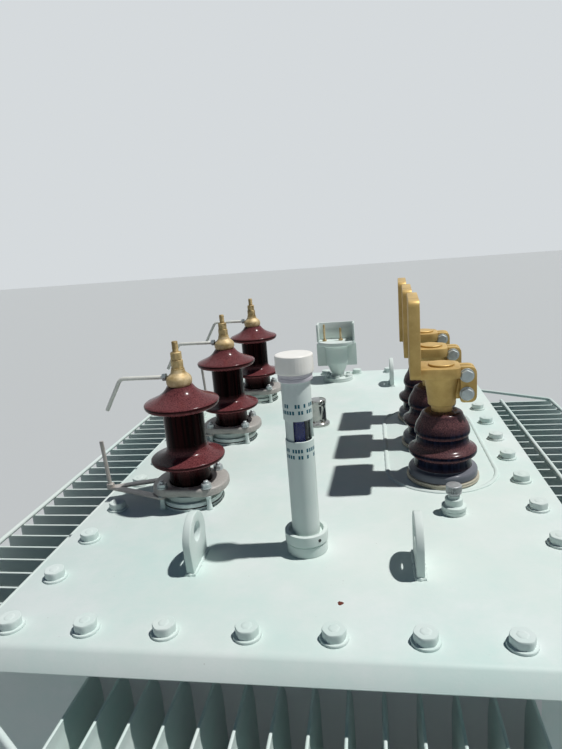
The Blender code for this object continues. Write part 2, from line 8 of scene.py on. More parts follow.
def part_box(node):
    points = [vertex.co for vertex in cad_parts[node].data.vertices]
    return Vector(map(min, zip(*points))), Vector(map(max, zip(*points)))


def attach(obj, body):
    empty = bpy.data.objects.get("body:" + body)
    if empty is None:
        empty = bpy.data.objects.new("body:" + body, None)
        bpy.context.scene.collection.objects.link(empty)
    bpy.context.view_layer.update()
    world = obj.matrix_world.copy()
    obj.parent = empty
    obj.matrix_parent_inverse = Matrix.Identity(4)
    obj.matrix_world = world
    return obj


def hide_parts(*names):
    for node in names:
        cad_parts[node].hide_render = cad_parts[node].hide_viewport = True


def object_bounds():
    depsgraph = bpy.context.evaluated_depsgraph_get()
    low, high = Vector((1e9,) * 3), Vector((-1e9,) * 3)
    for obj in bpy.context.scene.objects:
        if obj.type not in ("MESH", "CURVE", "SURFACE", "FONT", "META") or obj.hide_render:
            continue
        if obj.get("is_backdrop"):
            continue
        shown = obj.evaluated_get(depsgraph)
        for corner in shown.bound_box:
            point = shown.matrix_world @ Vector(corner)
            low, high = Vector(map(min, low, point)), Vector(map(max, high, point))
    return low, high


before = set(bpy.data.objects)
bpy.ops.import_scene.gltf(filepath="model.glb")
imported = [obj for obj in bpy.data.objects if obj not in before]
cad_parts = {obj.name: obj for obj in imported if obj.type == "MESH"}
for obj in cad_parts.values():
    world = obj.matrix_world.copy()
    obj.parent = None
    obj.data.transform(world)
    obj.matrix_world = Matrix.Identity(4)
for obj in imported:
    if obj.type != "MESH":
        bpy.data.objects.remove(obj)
cad_low, cad_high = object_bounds()

# Floor, light and camera.
# The floor is plain and pale, one soft lamp stands for the sun at the upper right, and the camera looks
# down along the cover from just above the gauge end.
view = bpy.context.scene
view.view_settings.view_transform = "Standard"


def colour(text):
    """An sRGB hex colour as linear red, green, blue and alpha."""
    parts = [int(text[at:at + 2], 16) / 255 for at in (1, 3, 5)]
    return (*[part / 12.92 if part <= 0.04045 else ((part + 0.055) / 1.055) ** 2.4 for part in parts], 1.0)


def in_use(sockets, name=None):
    """The first socket in use, or the first in use with the given name."""
    return next(item for item in sockets if item.enabled and name in (None, item.name))


def plug(node, **values):
    """Sets a node's inputs, or links those given a node or a socket; at1 is input number 1."""
    for name, value in values.items():
        socket = node.inputs[int(name[2:])] if name[2:].isdigit() else in_use(node.inputs, name.replace("_", " "))
        if isinstance(value, bpy.types.Node):
            value = in_use(value.outputs)
        if isinstance(value, bpy.types.NodeSocket):
            node.id_data.links.new(value, socket)
        else:
            socket.default_value = colour(value) if isinstance(value, str) else value
    return node


def add_node(tree, kind, settings=None, **values):
    """A node with its settings and links; a kind without a prefix is a shader node."""
    made = tree.nodes.new(kind if "Node" in kind else "ShaderNode" + kind)
    for name, value in (settings or {}).items():
        setattr(made, name, value)
    return plug(made, **values)


def link_object(name, data):
    made = bpy.data.objects.new(name, data)
    view.collection.objects.link(made)
    return made


floor_reach = 30
floor_mesh = bpy.data.meshes.new("floor")
floor_corners = [(x * floor_reach, y * floor_reach, 0) for x, y in ((-1, -1), (1, -1), (1, 1), (-1, 1))]
floor_mesh.from_pydata(floor_corners, [], [(0, 1, 2, 3)])
floor = link_object("floor", floor_mesh)
floor.location.z = cad_low.z
pale = bpy.data.materials.new("pale floor")
pale.use_nodes = True
plug(pale.node_tree.nodes["Principled BSDF"], Base_Color="#BEC2C3", Roughness=0.9)
floor_mesh.materials.append(pale)
floor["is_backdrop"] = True

sun_way = Vector((0.45, 0.05, 1.0))
sky = bpy.data.worlds.new("sky")
view.world = sky
sky.use_nodes = True
tree = sky.node_tree
rays = add_node(tree, "LightPath").outputs
glossy = rays["Is Glossy Ray"]
mirrored = add_node(tree, "Math", {"operation": "MAXIMUM"}, at0=glossy, at1=rays["Is Transmission Ray"])
seen = add_node(tree, "Math", {"operation": "MAXIMUM"}, at0=rays["Is Camera Ray"], at1=mirrored)
strength = add_node(tree, "MapRange", Value=seen, To_Min=0.060, To_Max=0.86)
# Glossy faces see a pale haze round the lamp
looking = add_node(tree, "TexCoord").outputs["Generated"]
near_sun = add_node(tree, "VectorMath", {"operation": "DOT_PRODUCT"}, at0=looking, at1=sun_way.normalized())
smooth = {"interpolation_type": "SMOOTHSTEP"}
haze = add_node(tree, "MapRange", smooth, Value=near_sun, From_Min=0.86, From_Max=0.97, To_Max=0.9)
hazed = add_node(tree, "Math", {"operation": "MULTIPLY_ADD"}, at0=haze, at1=glossy, at2=strength)
sky_tint = add_node(tree, "Mix", {"data_type": "RGBA"}, Factor=seen, A="#7DB8FF", B="#E4E9EC")
plug(tree.nodes["Background"], Strength=hazed, Color=sky_tint)

sun = link_object("sun", bpy.data.lights.new("sun", "SUN"))
sun.data.energy = 3.4
sun.data.angle = math.radians(1.5)
sun.data.color = colour("#FFFDFA")[:3]
sun.rotation_mode = "QUATERNION"
sun.rotation_quaternion = sun_way.to_track_quat("Z", "Y")

camera = link_object("camera", bpy.data.cameras.new("camera"))
camera.data.sensor_width = 36
camera.data.lens = 27.12
camera.data.clip_start = 0.05
view.camera = camera
right = Vector((0.98563195, 0.14992496, -0.07779561))
up = Vector((0.03955848, 0.24287694, 0.96925018))
facing = Matrix((right, up, right.cross(up))).transposed().to_4x4()
camera.matrix_world = Matrix.Translation((0.1172, -1.2806, 1.6839)) @ facing


# Tank paint.
# Two-pack enamel in pale grey-green, sprayed over blasted steel: a satin skin with faint orange peel,
# slow cloudy shifts of tint and a scatter of dust specks.
def new_finish(name):
    """A node material, its tree, its shader and the piece's own coordinates."""
    made = bpy.data.materials.new(name)
    made.use_nodes = True
    tree = made.node_tree
    place = add_node(tree, "TexCoord", {"name": "place"}).outputs["Object"]
    return made, tree, tree.nodes["Principled BSDF"], place


paint, tree, shader, place = new_finish("sprayed tank enamel")
cloud = add_node(tree, "TexNoise", Vector=place, Scale=6.0, Detail=12.0, Roughness=0.72)
tint = add_node(tree, "ValToRGB", Fac=cloud)
stops = tint.color_ramp.elements
stops.new(0.5)
for stop, at, tone in zip(stops, (0.36, 0.50, 0.64), ("#CBE0DB", "#D3E2DE", "#DBE5E3")):
    stop.position = at
    stop.color = colour(tone)
# Patches a hand wide have bleached from mint to a warmer white
drift = add_node(tree, "TexNoise", Vector=place, Scale=2.6, Detail=4.0)
drift_edge = add_node(tree, "MapRange", Value=drift, From_Min=0.42, From_Max=0.60, To_Max=0.40)
bleached = add_node(tree, "Mix", {"data_type": "RGBA"}, Factor=drift_edge, A=tint, B="#DCE2DC")
# Dust specks are near 2 mm across
speck = add_node(tree, "TexVoronoi", Vector=place, Scale=90.0)
speck_edge = add_node(tree, "MapRange", Value=speck, From_Min=0.05, From_Max=0.12, To_Min=1.0, To_Max=0.0)
speck_patch = add_node(tree, "TexNoise", Vector=place, Scale=31.0, Detail=2.0)
speck_few = add_node(tree, "MapRange", Value=speck_patch, From_Min=0.58, From_Max=0.70, To_Max=0.35)
speck_mask = add_node(tree, "Math", {"operation": "MULTIPLY"}, at0=speck_edge, at1=speck_few)
dusty = add_node(tree, "Mix", {"data_type": "RGBA"}, Factor=speck_mask, A=bleached, B="#8C918C")
sheen = add_node(tree, "MapRange", Value=cloud, To_Min=0.42, To_Max=0.58)
# Orange peel has waves about 3 mm long
peel = add_node(tree, "TexNoise", Vector=place, Scale=330.0, Detail=2.0)
peel_bump = add_node(tree, "Bump", Strength=0.12, Distance=0.0006, Height=peel)
plug(shader, Base_Color=dusty, Roughness=sheen, Normal=peel_bump, IOR=1.28)


# Channels, floor and walls.
# The two skid channels, the floor plate, the walls and the frame on them are hot-rolled steel, seam welded and
# sprayed with the tank. Their solids already have the real shape.
def dress(names, finish):
    """A CAD node keeps its shape and gets a finished material."""
    for name in names:
        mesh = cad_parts[name].data
        mesh.materials.clear()
        mesh.materials.append(finish)


dress(["skid_front", "skid_back", "tank_floor", "tank_walls", "top_flange"], paint)


# Cooling fins.
# Each bank is one long sheet of 1.2 mm steel folded into deep narrow fins full of oil, with the ends of every
# fin pressed flat and welded. The fin repeats along the tank wall.
def keep_piece(piece, finish, slot, *nodes):
    """A finished piece takes its place, rides on the body and stands for its CAD nodes."""
    if not piece.data.materials:
        piece.data.materials.append(finish)
    piece.data.transform(piece.matrix_world)
    piece.matrix_world = Matrix.Identity(4)
    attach(piece, "root")
    if nodes:
        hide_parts(*nodes)


def form_object(name, form, sharp=35):
    """A mesh object from a bmesh, outward faces, smooth up to the sharp angle in degrees."""
    bmesh.ops.recalc_face_normals(form, faces=form.faces)
    mesh = bpy.data.meshes.new(name)
    form.to_mesh(mesh)
    form.free()
    mesh.shade_smooth()
    mesh.set_sharp_from_angle(angle=math.radians(sharp))
    return link_object(name, mesh)


def loft(form, loops, closed=False):
    """Loops of points joined one to the next, with flat ends unless closed."""
    rings = [[form.verts.new(point) for point in loop] for loop in loops]
    pairs = list(zip(rings, rings[1:]))
    if closed:
        pairs.append((rings[-1], rings[0]))
    else:
        form.faces.new(rings[0])
        form.faces.new(rings[-1])
    for one, other in pairs:
        for at in range(len(one)):
            after = (at + 1) % len(one)
            form.faces.new((one[at], one[after], other[after], other[at]))


def prism(form, outline, heights):
    """An upright prism on an outline in X and Y."""
    loft(form, [[(x, y, up) for x, y in outline] for up in heights])


def fin_form(depth, height):
    """One fin standing out along X, pinched to a seam at both ends, with a folded nose."""
    seam_half = 0.0015
    swell = 0.0025
    nose = 0.0064
    bead_half = 0.0021
    bead_rise = 0.0012
    form = bmesh.new()
    levels = [(0.0, 0.0), (0.003, 0.0), (0.014, 0.0), (0.019, 0.12), (0.027, 0.60), (0.036, 0.92), (0.044, 1.0)]
    levels += [(height - up, full) for up, full in reversed(levels)]
    loops = []
    for up, full in levels:
        half = seam_half + swell * full
        side = [(0.0, half)]
        for step in range(5):
            angle = math.pi / 2 * step / 5
            side.append((depth - nose * (1 - math.sin(angle)), half * math.cos(angle)))
        loops.append([(x, y, up) for x, y in side + [(depth, 0.0)] + [(x, -y) for x, y in reversed(side)]])
    loft(form, loops)
    # A bead of weld closes the seam along its top and bottom edge
    turns = [math.tau * at / 8 for at in range(8)]
    for edge in (0.0, height):
        ring = [(bead_half * math.cos(turn), edge + bead_rise * math.sin(turn)) for turn in turns]
        loft(form, [[(x, y, up) for y, up in ring] for x in (0.0, depth / 4, depth / 2, depth * 0.75, depth - 0.003)])
    return form


def new_tree(name, **inputs):
    """A geometry node tree and its named inputs."""
    made = bpy.data.node_groups.new(name, "GeometryNodeTree")
    for title, kind in {"Geometry": "Geometry", **inputs}.items():
        made.interface.new_socket(title, in_out="INPUT", socket_type="NodeSocket" + kind)
    made.interface.new_socket("Geometry", in_out="OUTPUT", socket_type="NodeSocketGeometry")
    return made, add_node(made, "NodeGroupInput").outputs


def finish_tree(made, placed, finish):
    """The copies become real, take their material and leave the tree."""
    real = add_node(made, "GeometryNodeRealizeInstances", Geometry=placed)
    coated = add_node(made, "GeometryNodeSetMaterial", Geometry=real, Material=finish)
    add_node(made, "NodeGroupOutput", Geometry=coated)


def grown(piece, made, values):
    """The piece with a tree's result as its plain mesh."""
    modifier = piece.modifiers.new("grow", "NODES")
    modifier.node_group = made
    for item in made.interface.items_tree:
        if item.item_type == "SOCKET" and item.in_out == "INPUT" and item.name in values:
            modifier[item.identifier] = values[item.name]
    piece.update_tag()
    piece.data = applied(piece)


def applied(piece):
    """The piece's mesh with its modifiers in it; the modifiers are removed."""
    graph = bpy.context.evaluated_depsgraph_get()
    solid = piece.evaluated_get(graph)
    mesh = bpy.data.meshes.new_from_object(solid, preserve_all_data_layers=True, depsgraph=graph)
    piece.modifiers.clear()
    return mesh


fin_row, given = new_tree("row along a wall", Count="Int", Pitch="Vector", Finish="Material")
line = add_node(fin_row, "GeometryNodeMeshLine", Count=given["Count"], Offset=given["Pitch"])
row = add_node(fin_row, "GeometryNodeInstanceOnPoints", Points=line, Instance=given["Geometry"])
finish_tree(fin_row, row, given["Finish"])

fin_pitch = 0.045
fin_sheet = 0.004
fin_sharp = 50
for name, turn in (("fins_right", 0.0), ("fins_back", 90.0), ("fins_left", 180.0), ("fins_front", -90.0)):
    low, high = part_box(name)
    size = high - low
    depth, length = (size.x, size.y) if turn in (0.0, 180.0) else (size.y, size.x)
    count = int(length / fin_pitch) + 1
    bank = form_object(name + "_looks", fin_form(depth, size.z), fin_sharp)
    grown(bank, fin_row, {"Count": count, "Pitch": (0.0, fin_pitch, 0.0), "Finish": paint})
    bank.data.transform(Matrix.Translation((0.0, -(count - 1) * fin_pitch / 2, 0.0)))
    # The back sheet joins the fins
    sheet = bmesh.new()
    half = length / 2
    prism(sheet, [(0.0, -half), (fin_sheet, -half), (fin_sheet, half), (0.0, half)], (0.0, size.z))
    bmesh.ops.recalc_face_normals(sheet, faces=sheet.faces)
    sheet.from_mesh(bank.data)
    sheet.to_mesh(bank.data)
    sheet.free()
    bank.data.set_sharp_from_angle(angle=math.radians(fin_sharp))
    spin = Matrix.Rotation(math.radians(turn), 4, "Z")
    root = (low + high) / 2 + spin @ Vector((-depth / 2, 0.0, -size.z / 2))
    bank.matrix_world = Matrix.Translation(root) @ spin
    keep_piece(bank, paint, "tank_paint", name)


# Bars round the fins.
# Drawn round steel bar, bent into a loop round the fin tips and tacked to every fin so that the thin sheet
# doesn't drum. Two more bars lie half way out on the side banks.
def soften(form, width, segments=2, least=40):
    """Rounds the edges that turn more than the least angle in degrees."""
    bmesh.ops.recalc_face_normals(form, faces=form.faces)
    least = math.radians(least)
    edges = [edge for edge in form.edges if len(edge.link_faces) == 2 and edge.calc_face_angle() > least]
    bmesh.ops.bevel(form, geom=edges, offset=width, segments=segments, profile=0.5, affect="EDGES")


def swept(form, path, radius, sides=16, closed=False, wobble=0.0):
    """A round section carried along a path."""
    loops = []
    count = len(path)
    side = None
    for at, point in enumerate(path):
        ahead = path[(at + 1) % count] if closed or at < count - 1 else point
        behind = path[at - 1] if closed or at > 0 else point
        onward = (ahead - behind).normalized()
        if side is None:
            side = onward.orthogonal().normalized()
        side = (side - onward * side.dot(onward)).normalized()
        other = onward.cross(side)
        size = radius * (1 + wobble * math.sin(at * 2.1) * math.cos(at * 0.83 + 1.7))
        turns = [math.tau * step / sides for step in range(sides)]
        loops.append([point + size * (side * math.cos(turn) + other * math.sin(turn)) for turn in turns])
    loft(form, loops, closed)


def bent(points, bend, steps=8, closed=False):
    """A path with each corner rounded to the bend radius."""
    path = []
    count = len(points)
    points = [Vector(point) for point in points]
    for at, corner in enumerate(points):
        if not closed and at in (0, count - 1):
            path.append(corner)
            continue
        before = (points[at - 1] - corner).normalized()
        after = (points[(at + 1) % count] - corner).normalized()
        half = before.angle(after) / 2
        centre = corner + (before + after).normalized() * bend / math.sin(half)
        start = corner + before * bend / math.tan(half) - centre
        end = corner + after * bend / math.tan(half) - centre
        sweep = start.angle(end)
        for step in range(steps + 1):
            part = sweep * step / steps
            path.append(centre + (start * math.sin(sweep - part) + end * math.sin(part)) / math.sin(sweep))
    return path


# One piece is set on every point, each turned by a random angle about Z
on_points, given = new_tree("piece on points", Piece="Object", Turn="Float", Seed="Int", Finish="Material")
shape = add_node(on_points, "GeometryNodeObjectInfo", Object=given["Piece"]).outputs["Geometry"]
amount = add_node(on_points, "FunctionNodeRandomValue", {"data_type": "FLOAT"}, Max=given["Turn"], Seed=given["Seed"])
spin = add_node(on_points, "CombineXYZ", Z=amount)
points = given["Geometry"]
spread = add_node(on_points, "GeometryNodeInstanceOnPoints", Points=points, Instance=shape, Rotation=spin)
finish_tree(on_points, spread, given["Finish"])


def repeated(name, points, single, finish, turn=0.0, seed=1):
    """One object with a copy of the single piece on every point."""
    mesh = bpy.data.meshes.new(name)
    mesh.from_pydata(points, [], [])
    made = link_object(name, mesh)
    grown(made, on_points, {"Piece": single, "Turn": turn, "Seed": seed, "Finish": finish})
    made.data.set_sharp_from_angle(angle=math.radians(35))
    bpy.data.objects.remove(single)
    return made


def tack_form(radius):
    """A small lump of weld, flatter than it is wide."""
    form = bmesh.new()
    bmesh.ops.create_icosphere(form, subdivisions=2, radius=radius)
    for corner in form.verts:
        corner.co.z *= 0.6
        corner.co *= 1 + 0.08 * math.sin(corner.co.x * 2900 + corner.co.y * 1700)
    return form


def fin_places(run):
    """The places of the fins along a bank that reaches as far as the run on both sides."""
    count = int(round(2 * run / fin_pitch)) + 1
    return [(at - (count - 1) / 2) * fin_pitch for at in range(count)]


bar_inset = 0.016
side_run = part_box("fins_right")[1].y - bar_inset
end_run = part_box("fins_front")[1].x - bar_inset
for name in ("bar_loop_top", "bar_loop_low", "rail_left", "rail_right"):
    low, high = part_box(name)
    radius = (high.z - low.z) / 2
    height = low.z + radius
    form = bmesh.new()
    if name.startswith("rail"):
        x = (low.x + high.x) / 2
        swept(form, [Vector((x, low.y + (high.y - low.y) * at / 6, height)) for at in range(7)], radius, 14)
        soften(form, 0.001, 1)
        spots = [(x, along, low.z) for along in fin_places(side_run)]
        seed = 5
    else:
        x, y = high.x - radius, high.y - radius
        corners = [(x, side_run), (end_run, y), (-end_run, y), (-x, side_run)]
        corners += [(-one, -other) for one, other in corners]
        swept(form, bent([(*corner, height) for corner in corners], 0.024, 8, True), radius, 14, True)
        touch = low.z if name == "bar_loop_top" else high.z
        spots = [(side * x, along, touch) for side in (-1, 1) for along in fin_places(side_run)]
        spots += [(along, end * y, touch) for end in (-1, 1) for along in fin_places(end_run)]
        seed = 3
    keep_piece(form_object(name + "_looks", form), paint, "tank_paint", name)
    tacks = repeated(name + "_tacks", spots, form_object("tack", tack_form(0.0048)), paint, 6.0, seed)
    keep_piece(tacks, paint, "tank_paint")


# Cover gasket.
# Cork-filled nitrile sheet squeezed between the frame and the cover; only its black edge shows.
def mottled(name, tones, gloss, metallic=0.0, edges=None, relief=None, pores=None, **grain):
    """A finish in two tones mixed by a noise.

    The gloss is one roughness or two that the noise moves between. The edges are where the noise starts and ends
    to turn from tone to tone. The relief is a bump's strength and height, of finer pores where they are given.
    """
    made, tree, shader, place = new_finish(name)
    noise = add_node(tree, "TexNoise", Vector=place, **grain)
    share = add_node(tree, "MapRange", Value=noise, From_Min=edges[0], From_Max=edges[1]) if edges else noise
    mixed = add_node(tree, "Mix", {"data_type": "RGBA", "name": "tones"}, Factor=share, A=tones[0], B=tones[1])
    if isinstance(gloss, tuple):
        gloss = add_node(tree, "MapRange", Value=noise, To_Min=gloss[0], To_Max=gloss[1])
    plug(shader, Base_Color=mixed, Metallic=metallic, Roughness=gloss)
    if relief:
        fine = add_node(tree, "TexNoise", Vector=place, **pores) if pores else noise
        plug(shader, Normal=add_node(tree, "Bump", Strength=relief[0], Distance=relief[1], Height=fine))
    return made


gasket = mottled("nitrile sheet", ("#141414", "#2E2C29"), 0.8, Scale=700.0, Detail=3.0)
dress(["cover_gasket"], gasket)

# Cover.
# One 8 mm steel plate with both ends folded down at a slant in a press brake, so the long edges stay square
# and the ends turn over a round shoulder into a lip that sheds the rain.
low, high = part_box("cover")
cover_z = high.z
plate = 0.008
bend_radius = 0.014
inner_radius = bend_radius - plate
bend_run = 0.0278
outline = []
for end, edge in ((1, high.y), (-1, low.y)):
    outside = []
    inside = []
    for step in range(13):
        angle = math.pi / 4 * step / 12
        out, up = math.sin(angle), math.cos(angle)
        outside.append((edge - end * (bend_run - bend_radius * out), high.z - bend_radius * (1 - up)))
        inside.append((edge - end * (bend_run - inner_radius * out), high.z - bend_radius + inner_radius * up))
    folded = outside + [(edge, low.z + plate * up), (edge - end * plate * out, low.z)] + inside[::-1]
    outline += folded[::end]
form = bmesh.new()
loft(form, [[(x, y, z) for y, z in outline] for x in (low.x, high.x)])
soften(form, 0.0012, 2, 60)
keep_piece(form_object("cover_looks", form, 25), paint, "tank_paint", "cover")


# Rust spot.
# A drop of grinding dust has rusted on the cover near the gauge end and left a small brown stain.
def circle(radius, up, sides, centre=(0.0, 0.0, 0.0), start=0.0):
    """A loop of points round a centre; the radius and the height may be functions of the angle."""
    loop = []
    for at in range(sides):
        angle = start + math.tau * at / sides
        out, rise = (part(angle) if callable(part) else part for part in (radius, up))
        loop.append((centre[0] + out * math.cos(angle), centre[1] + out * math.sin(angle), centre[2] + rise))
    return loop


rust = mottled("rusted grinding dust", ("#3A1712", "#7A3B2A"), 0.9, Scale=900.0, Detail=4.0)
stain_at = (0.059, -0.613, cover_z)


def stain_edge(angle):
    """The uneven radius of the stain."""
    return 0.0042 * (1 + 0.14 * math.sin(3 * angle + 1) + 0.07 * math.sin(7 * angle))


form = bmesh.new()
shrinking = ((1.0, -0.0004), (0.9, 0.0004), (0.5, 0.0010))
loft(form, [circle(lambda angle: share * stain_edge(angle), rise, 24, stain_at) for share, rise in shrinking])
keep_piece(form_object("rust_spot", form), rust, "tank_paint")


# Cover bolts.
# Steel bolts with washers clamp the cover to the frame all round; they were sprayed with the tank, so thick
# paint has rounded their heads.
def bolt_form(across, height, washer, seat, corners=0.03):
    """A bolt head on its washer, standing on Z zero; the seat is the washer's upper face."""
    top = seat + height
    flat = [(0.96, -0.0004), (1.0, 0.0006), (1.0, seat - 0.0009), (0.97, seat)]
    head = [
        (0.485, seat - 0.0002), (0.5, top - 0.0022), (0.492, top - 0.0009), (0.472, top - 0.0001),
        (0.44, top), (0.24, top - 0.0002), (0.21, top + 0.0004), (0.12, top + 0.0005),
    ]
    form = bmesh.new()
    for size, profile, waves in ((washer, flat, 0.0), (across, head, corners)):
        loft(form, [
            circle(lambda angle: size * share * (1 + waves * math.cos(6 * angle)), up, 36) for share, up in profile
        ])
    return form


bolt_x, bolt_y = 0.385, 0.682
spots = [(0.110 * at - bolt_x, side * bolt_y, cover_z) for side in (-1, 1) for at in range(8)]
spots += [(side * bolt_x, 0.11367 * at - bolt_y, cover_z) for side in (-1, 1) for at in range(1, 12)]
bolt = form_object("bolt", bolt_form(0.0300, 0.0118, washer=0.0186, seat=0.0032))
keep_piece(repeated("cover_bolts", spots, bolt, paint, 6.28, 4), paint, "tank_paint")
# Each bolt ends in a nut under the frame
under = [(x, y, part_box("top_flange")[0].z) for x, y, z in spots]
nut = form_object("nut", bolt_form(0.0300, 0.0160, washer=0.0185, seat=0.0030, corners=0.06))
nut.data.transform(Matrix.Rotation(math.pi, 4, "X"))
keep_piece(repeated("cover_nuts", under, nut, paint, 6.28, 9), paint, "tank_paint")


# Lifting lugs.
# Four eyes flame-cut from thick plate, ground and welded upright to the cover, for the hooks of the crane.
def arc(centre, radius, first, last, steps):
    """Points on an arc between two angles in degrees."""
    turns = [math.radians(first + (last - first) * step / steps) for step in range(steps + 1)]
    return [(centre[0] + radius * math.cos(turn), centre[1] + radius * math.sin(turn)) for turn in turns]


def bead_path(corners, step):
    """Points along a closed run of corners, one step apart."""
    path = []
    for at, corner in enumerate(corners):
        start = Vector(corner)
        end = Vector(corners[(at + 1) % len(corners)])
        parts = max(1, int((end - start).length / step))
        path += [start.lerp(end, part / parts) for part in range(parts)]
    return path


lug_foot = 0.036
lug_knee = (0.038, 0.025)
eye_up = 0.054
eye_radius = 0.015
bead_gap = 0.0004
for name in ("lug_front_left", "lug_front_right", "lug_back_left", "lug_back_right"):
    low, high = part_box(name)
    size = high - low
    centre = (low + high) / 2
    half = size.y / 2
    outline = [(lug_foot * share, 0.0) for share in (-1.0, -0.5, 0.0, 0.5, 1.0)] + [lug_knee]
    outline += arc((0.0, size.z - half), half, 0, 180, 32) + [(-lug_knee[0], lug_knee[1])]
    eye = []
    for y, z in outline:
        away = Vector((y, z - eye_up)).normalized() * eye_radius
        eye.append((away.x, eye_up + away.y))
    form = bmesh.new()
    runs = ((outline, low.x), (outline, high.x), (eye, high.x), (eye, low.x))
    loft(form, [[(x, centre.y + y, low.z + z) for y, z in run] for run, x in runs], True)
    soften(form, 0.0016, 3, 50)
    keep_piece(form_object(name + "_looks", form, 40), paint, "tank_paint", name)
    reach = Vector((size.x / 2 + bead_gap, lug_foot + bead_gap, 0.0))
    around = ((1, -1, 0), (-1, -1, 0), (-1, 1, 0), (1, 1, 0))
    corners = [Vector((centre.x, centre.y, low.z + 0.0006)) + reach * Vector(way) for way in around]
    form = bmesh.new()
    swept(form, bead_path(corners, 0.0030), 0.0030, 8, True, wobble=0.40)
    keep_piece(form_object(name + "_weld", form), paint, "tank_paint")


# Gauge and filler tube.
# A steel tube in a stepped collar, both sprayed with the tank. A window in the tube shows a clear sleeve with
# a dark blue float, and a white screw cap closes the top.
def standing(node):
    """The middle of a node's box in X and Y, with its lowest height."""
    low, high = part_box(node)
    return (low.x + high.x) / 2, (low.y + high.y) / 2, low.z


def turned(name, profile, centre=(0.0, 0.0, 0.0), sides=96, sharp=35):
    """A profile of radius and height turned about an upright axis."""
    form = bmesh.new()
    loft(form, [circle(radius, up, sides, centre) for radius, up in profile])
    return form_object(name, form, sharp)


def corner_curve(before, corner, after, reach, steps):
    """A corner as a short curve that starts and ends a reach away from it."""
    corner = Vector(corner)
    start, end = (corner + (Vector(other) - corner).normalized() * reach for other in (before, after))
    parts = [step / steps for step in range(steps + 1)]
    return [tuple(start * (1 - part) ** 2 + corner * 2 * part * (1 - part) + end * part ** 2) for part in parts]


def eased(profile, radius, steps=4):
    """A profile with every inner corner rounded by up to the radius."""
    made = [profile[0]]
    for before, corner, after in zip(profile, profile[1:], profile[2:]):
        reach = min(radius, 0.45 * math.dist(before, corner), 0.45 * math.dist(corner, after))
        made += corner_curve(before, corner, after, reach, steps)
    return made + [profile[-1]]


gauge = standing("gauge_collar")
gauge_x, gauge_y, gauge_z = gauge
collar = turned("gauge_collar_looks", eased([
    (0.020, 0.0), (0.0325, 0.0), (0.0325, 0.0168), (0.0310, 0.0172), (0.0310, 0.0184), (0.0340, 0.0188),
    (0.0340, 0.0360), (0.0272, 0.0360), (0.0262, 0.0300), (0.015, 0.0300),
], 0.0012), gauge)
keep_piece(collar, paint, "tank_paint", "gauge_collar")
# The socket of the grub screw is a small recess coloured near black, a painted shade inside the hole
painted_hole_shade = mottled("shaded screw hole", ("#0E1011", "#25292A"), 0.5, Scale=1200.0)
hole = turned("gauge_grub_screw", [(0.0026, 0.0), (0.0026, 0.0008), (0.0014, 0.0008), (0.0012, 0.0004)], sides=24)
facing_out = Matrix.Rotation(math.radians(-47), 4, "Z") @ Matrix.Translation((0.0337, 0.0, 0.0275))
hole.matrix_world = Matrix.Translation(gauge) @ facing_out @ Matrix.Rotation(math.pi / 2, 4, "Y")
keep_piece(hole, painted_hole_shade, "gasket_rubber")

# The tube's paint carries two rows of short blue ticks round the front, above and below the window
marked = paint.copy()
marked.name = "sprayed tube with blue ticks"
tree = marked.node_tree
shader = tree.nodes["Principled BSDF"]
under_ticks = shader.inputs["Base Color"].links[0].from_socket
place = tree.nodes["place"].outputs["Object"]
spot_at = add_node(tree, "Mapping", Vector=place, Location=(-gauge_x, -gauge_y, -gauge_z))
parts = add_node(tree, "SeparateXYZ", Vector=spot_at).outputs
turn_of = add_node(tree, "Math", {"operation": "ARCTAN2"}, at0=parts["X"], at1=parts["Y"])
# 31 steps round the tube give marks near 4 mm wide in two rows, 10 mm apart
steps_round = add_node(tree, "Math", {"operation": "MULTIPLY"}, at0=turn_of, at1=31 / math.tau)
rows_up = add_node(tree, "Math", {"operation": "MULTIPLY"}, at0=parts["Z"], at1=1 / 0.0100)
cells = add_node(tree, "CombineXYZ", X=steps_round, Y=rows_up)
cell_floor = add_node(tree, "VectorMath", {"operation": "FLOOR"}, at0=cells)
chance = add_node(tree, "TexWhiteNoise", {"noise_dimensions": "2D"}, Vector=cell_floor)
in_cell = add_node(tree, "VectorMath", {"operation": "FRACTION"}, at0=cells)
inside = add_node(tree, "SeparateXYZ", Vector=in_cell).outputs
band_low = add_node(tree, "Math", {"operation": "COMPARE"}, at0=parts["Z"], at1=0.1700, at2=0.0099)
band_high = add_node(tree, "Math", {"operation": "COMPARE"}, at0=parts["Z"], at1=0.2400, at2=0.0099)
bands = add_node(tree, "Math", {"operation": "MAXIMUM"}, at0=band_low, at1=band_high)
inked = add_node(tree, "Math", {"operation": "GREATER_THAN"}, at0=chance, at1=0.24)
mask = add_node(tree, "Math", {"operation": "MULTIPLY"}, at0=bands, at1=inked)
for part, most in ((inside["X"], 0.68), (inside["Y"], 0.58), (parts["Y"], -0.002)):
    short = add_node(tree, "Math", {"operation": "LESS_THAN"}, at0=part, at1=most)
    mask = add_node(tree, "Math", {"operation": "MULTIPLY"}, at0=mask, at1=short)
plug(shader, Base_Color=add_node(tree, "Mix", {"data_type": "RGBA"}, Factor=mask, A=under_ticks, B="#1F5F70"))


def piped(name, outer, bore, heights):
    """A length of the gauge's pipe with a through bore."""
    low_up, high_up = heights
    form = bmesh.new()
    walls = ((outer, low_up), (outer, high_up), (bore, high_up), (bore, low_up))
    loft(form, [circle(radius, up, 96, gauge) for radius, up in walls], True)
    return form_object(name, form)


